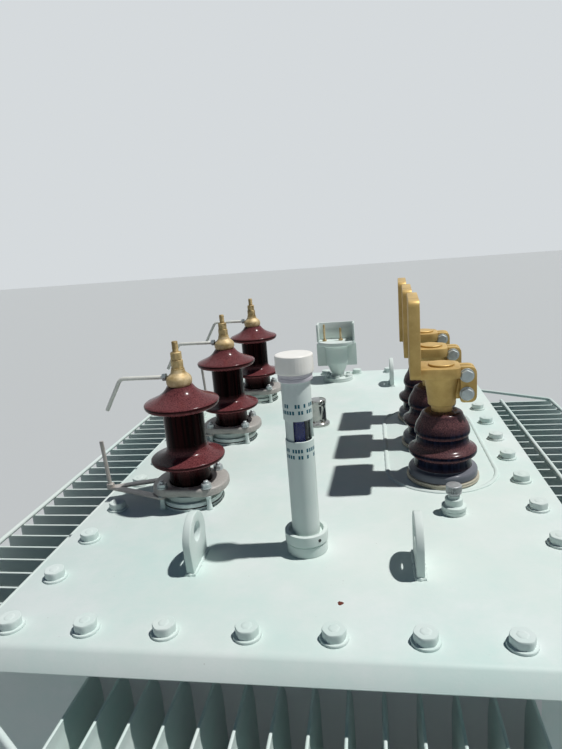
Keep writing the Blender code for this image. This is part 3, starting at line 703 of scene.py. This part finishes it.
def cut_away(piece, outline, heights, edge):
    """The piece less an upright prism on the gauge, edges eased."""
    form = bmesh.new()
    prism(form, outline, [gauge_z + up for up in heights])
    cutter = form_object("cutter", form)
    cut = piece.modifiers.new("cut", "BOOLEAN")
    cut.object = cutter
    cut.solver = "EXACT"
    piece.data = applied(piece)
    bpy.data.objects.remove(cutter)
    form = bmesh.new()
    form.from_mesh(piece.data)
    bmesh.ops.remove_doubles(form, verts=form.verts, dist=1e-6)
    soften(form, edge, 1, 60)
    form.to_mesh(piece.data)
    form.free()
    piece.data.set_sharp_from_angle(angle=math.radians(35))


# Both cutters reach well past the tube
cut_reach = 0.04
tube = piped("gauge_tube_looks", 0.0218, 0.0192, (0.0303, 0.2190))
left, right, near, far = gauge_x - cut_reach, gauge_x + cut_reach, gauge_y - cut_reach, gauge_y + 0.004
cut_away(tube, [(left, near), (right, near), (right, far), (left, far)], (0.187, 0.25), 0.0005)
keep_piece(tube, marked, "tank_paint", "gauge_tube")
# A painted liner inside the window leaves only a slot at the front right
liner = piped("gauge_liner", 0.0190, 0.0174, (0.150, 0.2192))
cut_away(liner, [(gauge_x, gauge_y)] + arc(gauge, cut_reach, -109, -1, 9), (0.16, 0.23), 0.0004)
keep_piece(liner, paint, "tank_paint")
sleeve = [(0.0195, 0.2194), (0.0223, 0.2194), (0.0223, 0.2785), (0.0215, 0.2788), (0.018, 0.2788)]
keep_piece(turned("gauge_sleeve_looks", eased(sleeve, 0.0008), gauge), marked, "tank_paint", "gauge_sleeve")


def retinted(finish, name, dark_tone, light_tone, metallic=None):
    """A copy of a two-tone finish with its own name and tones."""
    made = finish.copy()
    made.name = name
    plug(made.node_tree.nodes["tones"], A=dark_tone, B=light_tone)
    if metallic is not None:
        plug(made.node_tree.nodes["Principled BSDF"], Metallic=metallic)
    return made


# Moulded polyamide: warm white, half glossy, finely grained. The lock ring under the cap is milkier and greyer
cap_plastic = mottled(
    "moulded white polyamide", ("#F3F0E6", "#FDFCF8"), 0.30,
    relief=(0.08, 0.0003), pores={"Scale": 800.0}, Scale=60.0, Detail=5.0,
)
ring_plastic = retinted(cap_plastic, "milky lock ring", "#BAB6BE", "#D6D3DA")
lock_ring = turned("gauge_lock_ring", eased([
    (0.018, 0.2786), (0.0252, 0.2786), (0.0261, 0.2800), (0.0261, 0.2844), (0.0255, 0.2848), (0.0255, 0.2860),
    (0.0261, 0.2864), (0.0261, 0.2902), (0.018, 0.2902),
], 0.0006), gauge)
keep_piece(lock_ring, ring_plastic, "white_plastic")
low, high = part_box("gauge_cap")
cap_low = low.z - gauge_z
cap_high = high.z - gauge_z
rib_depth = 0.00025
form = bmesh.new()
loops = []
for radius, up in eased([
    (0.024, cap_low), (0.0286, cap_low), (0.0288, cap_low + 0.004), (0.0288, cap_high - 0.001), (0.0255, cap_high),
    (0.012, cap_high),
], 0.0030, 6):
    rib = rib_depth if cap_low + 0.004 < up < cap_high - 0.006 else 0.0
    loops.append(circle(lambda angle: radius - rib_depth + rib * max(0.0, math.cos(36 * angle)), up, 144, gauge))
loft(form, loops)
keep_piece(form_object("gauge_cap_looks", form), cap_plastic, "white_plastic", "gauge_cap")

# The float is dark blue plastic with an oily shine, and the sleeve round it clear acrylic with fine scuffs
float_plastic = mottled("dark blue float", ("#0C1550", "#16246F"), 0.25, Scale=120.0)
acrylic, tree, shader, place = new_finish("clear acrylic")
scuff = add_node(tree, "TexNoise", Vector=place, Scale=150.0, Detail=4.0)
scuffed = add_node(tree, "MapRange", Value=scuff, To_Min=0.02, To_Max=0.16)
plug(shader, Base_Color="#EEF3F2", Transmission_Weight=1.0, IOR=1.25, Roughness=scuffed)
keep_piece(piped("gauge_sight_looks", 0.0165, 0.0150, (0.150, 0.2189)), acrylic, "sight_tube", "gauge_sight")
rod = eased([(0.006, 0.160), (0.0118, 0.160), (0.0118, 0.2186), (0.006, 0.2186)], 0.001)
keep_piece(turned("gauge_float", rod, (gauge_x - 0.0020, gauge_y, gauge_z), 64), float_plastic, "sight_tube")

# High-voltage bases.
# A thin ring welded to the cover under each high-voltage bushing and a turned seat bolted down on it, both
# sprayed with the cover. A black rubber joint shows as a line between them.
hv_spots = [(letter, standing("hv_base_" + letter)) for letter in "abc"]
for letter, spot in hv_spots:
    seat = turned("hv_base_looks_" + letter, eased([
        (0.030, 0.0), (0.0590, 0.0), (0.0590, 0.0038), (0.0570, 0.0040), (0.0570, 0.0062), (0.0582, 0.0064),
        (0.0582, 0.0140), (0.030, 0.0140),
    ], 0.0008), spot)
    keep_piece(seat, paint, "tank_paint", "hv_base_" + letter)
    rubber = [(0.040, 0.0039), (0.0579, 0.0039), (0.0579, 0.0063), (0.040, 0.0063)]
    keep_piece(turned("hv_joint_" + letter, rubber, spot), gasket, "gasket_rubber")

# High-voltage porcelain.
# Wet-process porcelain under a brown glaze: one broad shed low down, a smooth core, and a crown that draws in
# to the neck. The glaze is glassy and speckled. Upright faces such as the core are painted nearly black with dark
# red vertical streaks, a painted shade and painted reflection, and their specular tint is dimmed.
glaze, tree, shader, place = new_finish("brown glazed porcelain")
fleck = add_node(tree, "TexNoise", Vector=place, Scale=420.0, Detail=4.0, Roughness=0.7)
fleck_edge = add_node(tree, "MapRange", Value=fleck, From_Min=0.36, From_Max=0.62)
flecked = add_node(tree, "Mix", {"data_type": "RGBA", "name": "tones"}, Factor=fleck_edge, A="#472226", B="#7C4446")
# Painted shade: upright faces are near black with dark red vertical streaks of painted reflection; sheds stay red
# brown
upness = add_node(tree, "SeparateXYZ", Vector=add_node(tree, "NewGeometry").outputs["Normal"]).outputs["Z"]
slope = add_node(tree, "Math", {"operation": "ABSOLUTE"}, at0=upness)
sloped_share = add_node(tree, "MapRange", Value=slope, From_Min=0.05, From_Max=0.45)
run = add_node(tree, "Mapping", Vector=place, Scale=(190.0, 190.0, 5.0))
painted_streak = add_node(tree, "TexNoise", Vector=run, Scale=1.0, Detail=3.0)
painted_streak_share = add_node(tree, "MapRange", Value=painted_streak, From_Min=0.42, From_Max=0.62)
painted_dark_core = add_node(tree, "Mix", {"data_type": "RGBA", "name": "thick glaze"}, Factor=painted_streak_share, A="#040303", B="#240C0D")
glazed = add_node(tree, "Mix", {"data_type": "RGBA"}, Factor=sloped_share, A=painted_dark_core, B=flecked)
# Upright faces also get a darker specular tint, a painted dimming of their reflections
dimmed_upright_shine = add_node(tree, "Mix", {"data_type": "RGBA", "name": "thick shine"}, Factor=sloped_share, A="#A88688", B="#FFFFFF")
# The lowest band of the foot stays unglazed and pale
foot_edge = 0.0002
foot_top = hv_spots[0][1][2] + 0.0266
height_of = add_node(tree, "SeparateXYZ", Vector=place).outputs["Z"]
bare = add_node(tree, "MapRange", {"name": "foot height"}, Value=height_of, To_Min=1.0, To_Max=0.0)
plug(bare, From_Min=foot_top - foot_edge, From_Max=foot_top + foot_edge)
footed = add_node(tree, "Mix", {"data_type": "RGBA", "name": "foot tint"}, Factor=bare, A=glazed, B="#BFCBC6")
gloss = add_node(tree, "MapRange", Value=fleck, To_Min=0.12, To_Max=0.24)
ripple = add_node(tree, "TexNoise", Vector=place, Scale=70.0, Detail=2.0)
ripple_bump = add_node(tree, "Bump", Strength=0.10, Distance=0.0015, Height=ripple)
plug(shader, Base_Color=footed, Specular_Tint=dimmed_upright_shine, Roughness=gloss, Normal=ripple_bump, IOR=1.20)


def curved(points, steps=5):
    """A smooth curve through every point."""
    made = []
    last = len(points) - 1
    for at in range(last):
        p0, p1, p2, p3 = (Vector(points[min(max(at + shift, 0), last)]) for shift in (-1, 0, 1, 2))
        bow = 2 * p0 - 5 * p1 + 4 * p2 - p3
        twist = 3 * p1 - p0 - 3 * p2 + p3
        for t in [step / steps for step in range(steps)]:
            made.append(tuple(0.5 * (2 * p1 + (p2 - p0) * t + bow * t * t + twist * t ** 3)))
    made.append(tuple(points[-1]))
    return made


foot = eased([(0.030, 0.0146), (0.0526, 0.0146), (0.0526, 0.0262), (0.0400, 0.0266), (0.0398, 0.0500)], 0.0012)
shed = curved([
    (0.0398, 0.0760), (0.0428, 0.0792), (0.0560, 0.0798), (0.0680, 0.0840), (0.0708, 0.0890), (0.0694, 0.0926),
    (0.0590, 0.0957), (0.0485, 0.1000), (0.0420, 0.1046), (0.0386, 0.1110),
])
crown = curved([
    (0.0386, 0.1855), (0.0560, 0.1866), (0.0676, 0.1912), (0.0708, 0.1972), (0.0692, 0.2016), (0.0584, 0.2062),
    (0.0452, 0.2118), (0.0352, 0.2182), (0.0284, 0.2252), (0.0246, 0.2308),
])
for letter, spot in hv_spots:
    profile = foot + shed + [(0.0384, 0.122), (0.0384, 0.170)] + crown + [(0.018, 0.2309)]
    body = turned("hv_porcelain_looks_" + letter, profile, spot)
    keep_piece(body, glaze, "brown_porcelain", "hv_porcelain_" + letter)

# Clamp rings.
# Each foot is held down by a sand-cast aluminium ring with four lobes. A stud welded to the cover comes up
# through every lobe and carries a zinc-plated washer and nut.
# The cast skin is grey and grainy, the plating brighter, smoother and finely drawn
casting = mottled(
    "sand-cast aluminium", ("#878582", "#BDBAB4"), (0.45, 0.68), 0.20,
    relief=(0.35, 0.0006), Scale=240.0, Detail=5.0, Roughness=0.65,
)
zinc = mottled(
    "bright zinc on steel", ("#9BA5A7", "#CED5D5"), (0.26, 0.48), 0.38,
    relief=(0.1, 0.0002), pores={"Scale": 1500.0}, Scale=130.0, Detail=4.0,
)


def hexed(name, profile):
    """A hexagon nut or head from half-width and height, its corners cut by the chamfer."""
    sixth = math.pi / 3
    form = bmesh.new()
    loft(form, [
        circle(lambda angle: half * min(1 / math.cos((angle + sixth / 2) % sixth - sixth / 2), 1.11), up, 48)
        for half, up in profile
    ])
    return form_object(name, form, 25)


def merged(name, parts, sharp=25):
    """Loose parts as one object."""
    form = bmesh.new()
    for part in parts:
        form.from_mesh(part.data)
        bpy.data.objects.remove(part)
    return form_object(name, form, sharp)


def thread_profile(radius, low_up, high_up, pitch=0.0015):
    """The outline of a screw thread as a run of shallow teeth."""
    outline = []
    count = max(1, int((high_up - low_up) / pitch))
    for at in range(count):
        up = low_up + (high_up - low_up) * at / count
        outline += [(radius * 0.90, up), (radius, up + pitch * 0.5)]
    outline.append((radius * 0.90, high_up))
    return outline


def nut_stack(name, half, height, washer, thread):
    """Washer, nut and the thread end above it as one mesh, standing on Z zero."""
    sheet = 0.0018
    top = sheet + height
    flat = [(thread * 0.8, 0.0), (washer, 0.0), (washer, sheet), (thread * 0.8, sheet)]
    stud = [(thread * 0.8, 0.001), (thread, 0.001)] + thread_profile(thread, top - 0.0002, top + thread)
    return merged(name, [
        turned("washer", eased(flat, 0.0004), sides=40),
        hexed("nut", [(half * 0.93, sheet), (half, sheet + 0.0008), (half, top - 0.0008), (half * 0.93, top)]),
        turned("thread", stud + [(thread * 0.7, top + 0.0006 + thread)], sides=32),
    ])


eighth = math.pi / 4
outer_edge = ((0.0014, 0.0271), (0.0, 0.0286), (0.0, 0.0385), (0.0012, 0.0412), (0.0036, 0.0426))
inner_edge = ((0.0440, 0.0426), (0.0416, 0.0415), (0.0406, 0.0400), (0.0406, 0.0282), (0.0416, 0.0271))
prop = eased([
    (0.002, 0.0), (0.0064, 0.0), (0.0056, 0.004), (0.0046, 0.010), (0.0046, 0.0210), (0.0066, 0.0274), (0.002, 0.0274),
], 0.0012)
for letter, spot in hv_spots:
    loops = []
    for inset, up in outer_edge:
        # The upper edge dips between the lobes
        dip = 0.0012 if up > 0.036 else 0.0
        loops.append(circle(
            lambda angle: 0.0668 + 0.011 * math.cos(2 * angle) - 0.004 * math.cos(4 * angle) - inset,
            lambda angle: up - dip * (1 + math.cos(4 * angle)), 128, spot,
        ))
    form = bmesh.new()
    loft(form, loops + [circle(radius, up, 128, spot) for radius, up in inner_edge], True)
    keep_piece(form_object("hv_clamp_looks_" + letter, form, 40), casting, "cast_aluminium", "hv_clamp_" + letter)
    stack = nut_stack("nut", 0.0085, 0.0072, washer=0.0105, thread=0.0048)
    nuts = repeated("hv_nuts_" + letter, circle(0.0615, 0.0424, 4, spot, eighth), stack, zinc, 6.28, 11)
    keep_piece(nuts, zinc, "zinc_steel")
    claw = turned("claw", prop, sides=32)
    claws = repeated("hv_claws_" + letter, circle(0.0652, 0.0, 4, spot, eighth), claw, paint, 1.0, 2)
    keep_piece(claws, paint, "tank_paint")

# High-voltage caps.
# A turned brass knob closes the neck of the porcelain. Above it come a washer, two nuts and the stud for the
# cable lug. The brass was cast, so it is dull and pale with darker pits, and lacquer makes it creamy.
brass = mottled(
    "dull cast brass", ("#A68C5A", "#D8C298"), (0.46, 0.66), 0.25, edges=(0.34, 0.62),
    relief=(0.2, 0.0004), pores={"Scale": 600.0, "Detail": 3.0}, Scale=55.0, Detail=5.0, Roughness=0.6,
)
# Grease and dirt in the thread darken the stud and its nuts
rough_brass = retinted(brass, "rough brass thread", "#7A6238", "#CFB784")
knob = [(0.008, 0.0)] + curved([
    (0.0212, 0.0), (0.0236, 0.0034), (0.0243, 0.0090), (0.0237, 0.0140), (0.0209, 0.0186), (0.0168, 0.0222),
    (0.0142, 0.0252), (0.0128, 0.0306),
]) + [(0.004, 0.0309)]
knob_height = 0.0310
washer = eased([(0.004, -0.0005), (0.0125, -0.0005), (0.0125, 0.0024), (0.004, 0.0024)], 0.0005)
for letter, spot in hv_spots:
    low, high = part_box("hv_cap_" + letter)
    cap = turned("hv_cap_looks_" + letter, knob, (*spot[:2], low.z))
    keep_piece(cap, brass, "cast_brass", "hv_cap_" + letter)
    tip = high.z - low.z - knob_height
    teeth = thread_profile(0.0060, 0.001, tip - 0.0014, 0.0018)
    parts = [
        turned("washer", washer, sides=48),
        hexed("nut", [(0.0096, 0.0024), (0.0104, 0.0034), (0.0104, 0.0168), (0.0096, 0.0178)]),
        hexed("nut", [(0.0088, 0.0182), (0.0096, 0.0192), (0.0096, 0.0318), (0.0088, 0.0328)]),
        turned("stud", [(0.003, 0.0), *teeth, (0.0050, tip - 0.0002), (0.002, tip - 0.0002)], sides=40),
    ]
    for at, part in enumerate(parts):
        part.data.transform(Matrix.Rotation(0.5 * at + 3 * spot[1], 4, "Z"))
    stack = merged("hv_stud_" + letter, parts)
    stack.matrix_world = Matrix.Translation((*spot[:2], low.z + knob_height))
    keep_piece(stack, rough_brass, "cast_brass")

# Arcing horns.
# Bent galvanised rod. The upper horn screws into the side of the cap behind a small nut, and the lower one
# stands on a forked strap that is gripped under two lobes of the clamp ring.
# Hot-dip zinc is pale and nearly white, and the strap has weathered to a duller brown grey than the rod
galvanised = retinted(zinc, "hot-dip galvanised steel", "#CFD0C8", "#F2F2EA", 0.15)
weathered = retinted(galvanised, "weathered galvanised steel", "#9C9690", "#CBC6C0")
rod_radius = 0.0039
bar_half = 0.0078
fork_end = Vector((-0.046, 0.046))
fork_tip = Vector((-0.171, 0.0))
spread = (fork_end - fork_tip).normalized()
aside = Vector((-spread.y, spread.x)) * bar_half
across = math.degrees(math.atan2(aside.y, aside.x))
upper_half = arc(fork_end, bar_half, across - 180, across, 12) + [tuple(fork_tip + aside + Vector((0.004, 0.0)))]
fork = [(fork_tip.x + bar_half / spread.y, 0.0)] + upper_half + arc(fork_tip, bar_half, 135, 225, 2)
fork += [(x, -y) for x, y in reversed(upper_half)]
for letter, spot in hv_spots:
    start = Vector((spot[0] - 0.0258, spot[1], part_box("horn_upper_" + letter)[1].z - 0.004))
    path = [start, start + Vector((-0.091, 0.0, 0.0)), start + Vector((-0.127, 0.0, -0.062))]
    form = bmesh.new()
    swept(form, bent(path, 0.014, 10), rod_radius, 24)
    soften(form, 0.0008, 2, 60)
    keep_piece(form_object("horn_upper_looks_" + letter, form, 45), galvanised, "zinc_steel", "horn_upper_" + letter)
    nut = hexed("horn_nut_" + letter, [(0.0060, 0.0), (0.0066, 0.0008), (0.0066, 0.0070), (0.0058, 0.0080)])
    nut.matrix_world = Matrix.Translation(start + Vector((0.002, 0.0, 0.0))) @ Matrix.Rotation(-math.pi / 2, 4, "Y")
    keep_piece(nut, zinc, "zinc_steel")
    form = bmesh.new()
    prism(form, fork, (0.0002, 0.0048))
    soften(form, 0.0009, 2, 60)
    leans = ((0.0, 0.001), (0.0025, 0.050), (0.005, 0.0995), (0.0051, 0.1008))
    swept(form, [Vector((fork_tip.x - lean, 0.0, up)) for lean, up in leans], rod_radius, 24)
    nut = hexed("tip", [(0.0064, 0.0048), (0.0070, 0.0056), (0.0070, 0.0106), (0.0063, 0.0114)])
    nut.data.transform(Matrix.Translation((fork_tip.x, 0.0, 0.0)))
    strap = merged("horn_lower_looks_" + letter, [form_object("strap", form), nut], 35)
    strap.matrix_world = Matrix.Translation((*spot[:2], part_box("horn_lower_" + letter)[0].z))
    keep_piece(strap, weathered, "zinc_steel", "horn_lower_" + letter)

# Insert pad.
# A non-magnetic steel plate with round ends is let into the cover under the low-voltage row, so the big
# currents don't heat the cover. A continuous weld bead runs round it.
low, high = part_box("lv_pad")
pad_place = Matrix.Translation(standing("lv_pad"))
half_x = (high.x - low.x) / 2
end_y = (high.y - low.y) / 2 - half_x
outline = arc((0.0, end_y), half_x, 0, 180, 32) + arc((0.0, -end_y), half_x, 180, 360, 32)
inner = [(x * 0.985, y * 0.994) for x, y in outline]
form = bmesh.new()
loft(form, [[(x, y, up) for x, y in run] for run, up in ((outline, -0.0003), (outline, 0.0003), (inner, 0.0009))])
pad = form_object("lv_pad_looks", form, 60)
pad.matrix_world = pad_place
keep_piece(pad, paint, "tank_paint", "lv_pad")
form = bmesh.new()
swept(form, bead_path([(x * 0.988, y * 0.995, 0.0) for x, y in outline], 0.0055), 0.0046, 12, True, wobble=0.16)
for corner in form.verts:
    corner.co.z *= 0.75
weld = form_object("lv_pad_weld", form)
weld.matrix_world = pad_place
keep_piece(weld, paint, "tank_paint")

# Low-voltage bushings.
# Each short bushing has a wide foot on a metal ring, a waist, and two close sheds, all in a greyer glaze than
# the tall ones. Upright faces such as the waist are painted near-black navy, a painted shade, and the lowest
# band of the foot is coloured plain grey.
grey_glaze = retinted(glaze, "grey brown glazed porcelain", "#3C2A2E", "#6E4A4C")
nodes = grey_glaze.node_tree.nodes
# Painted shade: upright faces get a near-black navy and a bluish, dimmed specular tint
plug(nodes["thick glaze"], A="#0B0D1A", B="#1C2032")
plug(nodes["thick shine"], A="#5A6896")
plug(nodes["foot tint"], B="#6F727A")
lv_spots = [(letter, standing("lv_porcelain_" + letter)) for letter in "abc"]
foot_top = lv_spots[0][1][2] + 0.0186
plug(nodes["foot height"], From_Min=foot_top - foot_edge, From_Max=foot_top + foot_edge)
# Plated steel that has gone tan, as rough as the castings
ring_metal = retinted(casting, "tan plated steel ring", "#A39D8C", "#CBC4B2")
ring = eased([
    (0.050, 0.0), (0.0694, 0.0), (0.0694, 0.0030), (0.0684, 0.0036), (0.0684, 0.0044), (0.0690, 0.0050),
    (0.0690, 0.0080), (0.050, 0.0080),
], 0.001)
profile = eased([
    (0.040, 0.0002), (0.0662, 0.0002), (0.0662, 0.0112), (0.0640, 0.0150), (0.0556, 0.0176), (0.0538, 0.0365),
], 0.002)
profile += curved([
    (0.0545, 0.0388), (0.0600, 0.0402), (0.0640, 0.0440), (0.0651, 0.0490), (0.0638, 0.0540), (0.0560, 0.0590),
    (0.0510, 0.0650), (0.0492, 0.0740),
])
profile += curved([
    (0.0492, 0.0800), (0.0512, 0.0826), (0.0524, 0.0870), (0.0520, 0.0930), (0.0488, 0.1030), (0.0432, 0.1130),
    (0.0404, 0.1190), (0.0384, 0.1240), (0.0340, 0.1268), (0.0290, 0.1278),
])
for letter, spot in lv_spots:
    foot = turned("lv_ring_looks_" + letter, ring, (*spot[:2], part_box("lv_ring_" + letter)[0].z))
    keep_piece(foot, ring_metal, "zinc_steel", "lv_ring_" + letter)
    body = turned("lv_porcelain_looks_" + letter, profile + [(0.020, 0.1278)], spot)
    keep_piece(body, grey_glaze, "brown_porcelain", "lv_porcelain_" + letter)

# Low-voltage terminals.
# Cast brass clamps: a cone grips the threaded stem, a flat top plate runs left into a thick upright blade for
# the bus bar, and two split ears at the right are drawn together by two bolts.
# The brass is more golden than the caps, in broad cloudy patches over a fine cast grain
gold = mottled(
    "golden cast brass", ("#AE8F52", "#D3B474"), (0.42, 0.62), 0.5, edges=(0.30, 0.72),
    relief=(0.25, 0.0005), pores={"Scale": 480.0, "Detail": 4.0}, Scale=24.0, Detail=6.0, Roughness=0.6,
)


def rounded(low, high, radii, steps=5):
    """A rectangle between two corners, with each corner rounded by its own radius."""
    outline = [low, (high[0], low[1]), high, (low[0], high[1])]
    made = []
    for at, (corner, radius) in enumerate(zip(outline, radii)):
        after = outline[(at + 1) % 4]
        made += corner_curve(outline[at - 1], corner, after, radius, steps) if radius else [corner]
    return made


# The cone flares up into the plate with a cast fillet
cone = [(0.012, 0.0), (0.0198, 0.0), (0.0198, 0.0118), (0.0248, 0.0120)]
cone += curved([(0.0258, 0.0132), (0.0278, 0.034), (0.0306, 0.054), (0.0328, 0.0640), (0.0358, 0.0696)])
cone += [(0.0358, 0.0740), (0.012, 0.0740)]
disc = [(0.010, 0.0880), (0.0243, 0.0880), (0.0243, 0.0918), (0.0235, 0.0926), (0.010, 0.0926)]
head = [(0.0102, 0.0), (0.0107, 0.0008), (0.0107, 0.0062), (0.0094, 0.0074), (0.0050, 0.0076)]
blade = rounded((-0.0748, 0.0772), (0.0748, 0.2218), (0.012,) * 4)
boss = rounded((0.0330, 0.0182), (0.0628, 0.0878), (0.006, 0.014, 0.014, 0.002))
web = rounded((0.0150, 0.0240), (0.0350, 0.0870), (0, 0, 0, 0))
rim = eased([(0.006, -0.0022), (0.0134, -0.0022), (0.0134, 0.0002), (0.006, 0.0002)], 0.0005)
for letter, spot in lv_spots:
    form = bmesh.new()
    prism(form, rounded((-0.050, -0.038), (0.034, 0.038), (0, 0.020, 0.020, 0)), (0.0692, 0.0888))
    loft(form, [circle(radius, up, 64) for radius, up in disc])
    loft(form, [[(x, y, up) for y, up in blade] for x in (-0.0598, -0.0402)])
    for side in (-1, 1):
        for run, thickness in ((boss, 0.0178), (web, 0.0105)):
            loft(form, [[(x, side * y, up) for x, up in run] for y in (0.0031, thickness)])
    soften(form, 0.0016, 2, 50)
    parts = [turned("cone", cone, sides=72), form_object("plate", form)]
    terminal = merged("lv_terminal_looks_" + letter, parts, 35)
    stand = Matrix.Translation((*spot[:2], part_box("lv_terminal_" + letter)[0].z))
    stand @= Matrix.Rotation(math.radians(-2.5), 4, "Z")
    terminal.matrix_world = stand
    keep_piece(terminal, gold, "cast_brass", "lv_terminal_" + letter)
    # Two zinc-plated bolts, heads to the front and nuts behind
    parts = []
    for side in (-1, 1):
        bolt = merged("bolt", [hexed("head", head), turned("rim", rim, sides=48)])
        bolt.data.transform(Matrix.Rotation(-side * math.pi / 2, 4, "X"))
        bolt.data.transform(Matrix.Translation((0.0, side * 0.0202, 0.0)))
        parts.append(bolt)
    spots = [(0.0445, 0.0, up) for up in (0.0360, 0.0715)]
    bolts = repeated("lv_bolts_" + letter, spots, merged("pair", parts), zinc)
    bolts.matrix_world = stand
    keep_piece(bolts, zinc, "zinc_steel")

# Sampling plug.
# A small turned valve welded to the cover: a flat foot and a rounded shoulder under the tank's paint, and a
# bare knurled steel cap screwed on top.
spot = standing("sampling_plug")
foot = turned("sampling_plug_looks", eased([
    (0.008, 0.0), (0.0203, 0.0), (0.0203, 0.0060), (0.0194, 0.0064), (0.0194, 0.0076), (0.0209, 0.0080),
    (0.0209, 0.0142), (0.0150, 0.0156), (0.0150, 0.0272), (0.0100, 0.0284), (0.0100, 0.0330), (0.004, 0.0330),
], 0.0010), spot)
keep_piece(foot, paint, "zinc_steel", "sampling_plug")
form = bmesh.new()
loops = []
for radius, up in eased([
    (0.004, 0.0320), (0.0094, 0.0320), (0.0094, 0.0362), (0.0132, 0.0370), (0.0134, 0.0384), (0.0126, 0.0392),
    (0.0134, 0.0400), (0.0134, 0.0500), (0.0120, 0.0519), (0.004, 0.0519),
], 0.0006, 3):
    knurl = 0.0009 if 0.0401 < up < 0.0500 else 0.0
    loops.append(circle(lambda angle: radius + knurl * (math.cos(24 * angle) - 1), up, 240, spot))
loft(form, loops)
# Handled steel, darker than fresh zinc
dull_steel = retinted(zinc, "dull steel", "#7E8284", "#C2C6C7", 0.35)
keep_piece(form_object("sampling_plug_cap", form, 40), dull_steel, "zinc_steel")

# Relief dome.
# A spring valve under a spun cap seated on its turned flange. The bright plating mirrors the sky and the
# paint round it, softened by a thin haze.
chrome = mottled("polished plated cap", ("#868989", "#BDBCB7"), (0.06, 0.16), 1.0, Scale=90.0, Detail=4.0)
dome = turned("relief_dome_looks", eased([
    (0.010, 0.0), (0.0288, 0.0), (0.0288, 0.0058), (0.0244, 0.0080), (0.0216, 0.0112), (0.0207, 0.0180),
    (0.0207, 0.0545), (0.0218, 0.0570), (0.0222, 0.0592), (0.0222, 0.0664), (0.0208, 0.0686), (0.0060, 0.0688),
], 0.0016), standing("relief_dome"))
keep_piece(dome, chrome, "plated_dome", "relief_dome")

# Protection head.
# A cast housing bolted to a round flange at the far end: a narrow foot, a cone, a rim with a flat wing at each
# side, and an open tray on top with the ends of two brass studs.
spot = standing("head_flange")
foot = turned("head_flange_looks", eased([
    (0.020, 0.0), (0.0515, 0.0), (0.0515, 0.0052), (0.0503, 0.0058), (0.0503, 0.0066), (0.0510, 0.0072),
    (0.0510, 0.0120), (0.020, 0.0120),
], 0.0010), spot)
keep_piece(foot, paint, "tank_paint", "head_flange")
profile = [(0.012, 0.0)] + curved([
    (0.0217, 0.0010), (0.0217, 0.0124), (0.0262, 0.0223), (0.0340, 0.0420), (0.0372, 0.0530), (0.0379, 0.0980),
    (0.0420, 0.1040), (0.0505, 0.1086),
], 4) + [(0.0618, 0.1124), (0.0624, 0.1138), (0.0624, 0.1226), (0.0612, 0.1238), (0.012, 0.1238)]
wing = rounded((-0.0668, 0.0362), (0.0668, 0.1138), (0.004, 0.004, 0.003, 0.003), 3)
form = bmesh.new()
loft(form, [[(x, y, up) for x, up in wing] for y in (-0.0038, 0.0038)])
soften(form, 0.0010, 2, 60)
housing = merged("head_body_looks", [turned("cone", profile), form_object("wing", form)], 40)
housing.matrix_world = Matrix.Translation((*spot[:2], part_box("head_body")[0].z))
keep_piece(housing, paint, "tank_paint", "head_body")
low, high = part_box("head_tray")
tray_gap = 0.0002
tray_wall = 0.006
tray_x, tray_y = (high.x - low.x) / 2 - tray_gap, (high.y - low.y) / 2 - tray_gap
in_x, in_y = tray_x - tray_wall, tray_y - tray_wall
outline = [(-tray_x, -tray_y), (-in_x, -tray_y), (-in_x, in_y), (in_x, in_y), (in_x, -tray_y)]
outline += [(tray_x, -tray_y), (tray_x, tray_y), (-tray_x, tray_y)]
form = bmesh.new()
prism(form, outline, (tray_gap, high.z - low.z - tray_gap))
soften(form, 0.0010, 2, 50)
tray = form_object("head_tray_looks", form, 40)
tray.matrix_world = Matrix.Translation((*spot[:2], low.z))
keep_piece(tray, paint, "tank_paint", "head_tray")
for number, (x, y, tall) in enumerate(((-0.038, -0.012, 0.0560), (0.016, -0.010, 0.0420))):
    profile = eased([(0.002, -0.0004), (0.0070, -0.0004), (0.0070, 0.0050), (0.0038, 0.0054)], 0.0006)
    profile += thread_profile(0.0038, 0.0056, tall - 0.004, 0.0020) + [(0.0030, tall), (0.001, tall)]
    stud = turned("head_stud_%d" % (number + 1), profile, (spot[0] + x, spot[1] + y, low.z), 32)
    keep_piece(stud, brass, "cast_brass")
around = circle(0.0400, 0.0, 6, (*spot[:2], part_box("head_flange")[1].z), math.tau / 12)
bolt = form_object("bolt", bolt_form(0.0150, 0.0070, washer=0.0098, seat=0.0018, corners=0.05))
keep_piece(repeated("head_bolts", around, bolt, paint, 6.28, 8), paint, "tank_paint")

low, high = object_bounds()
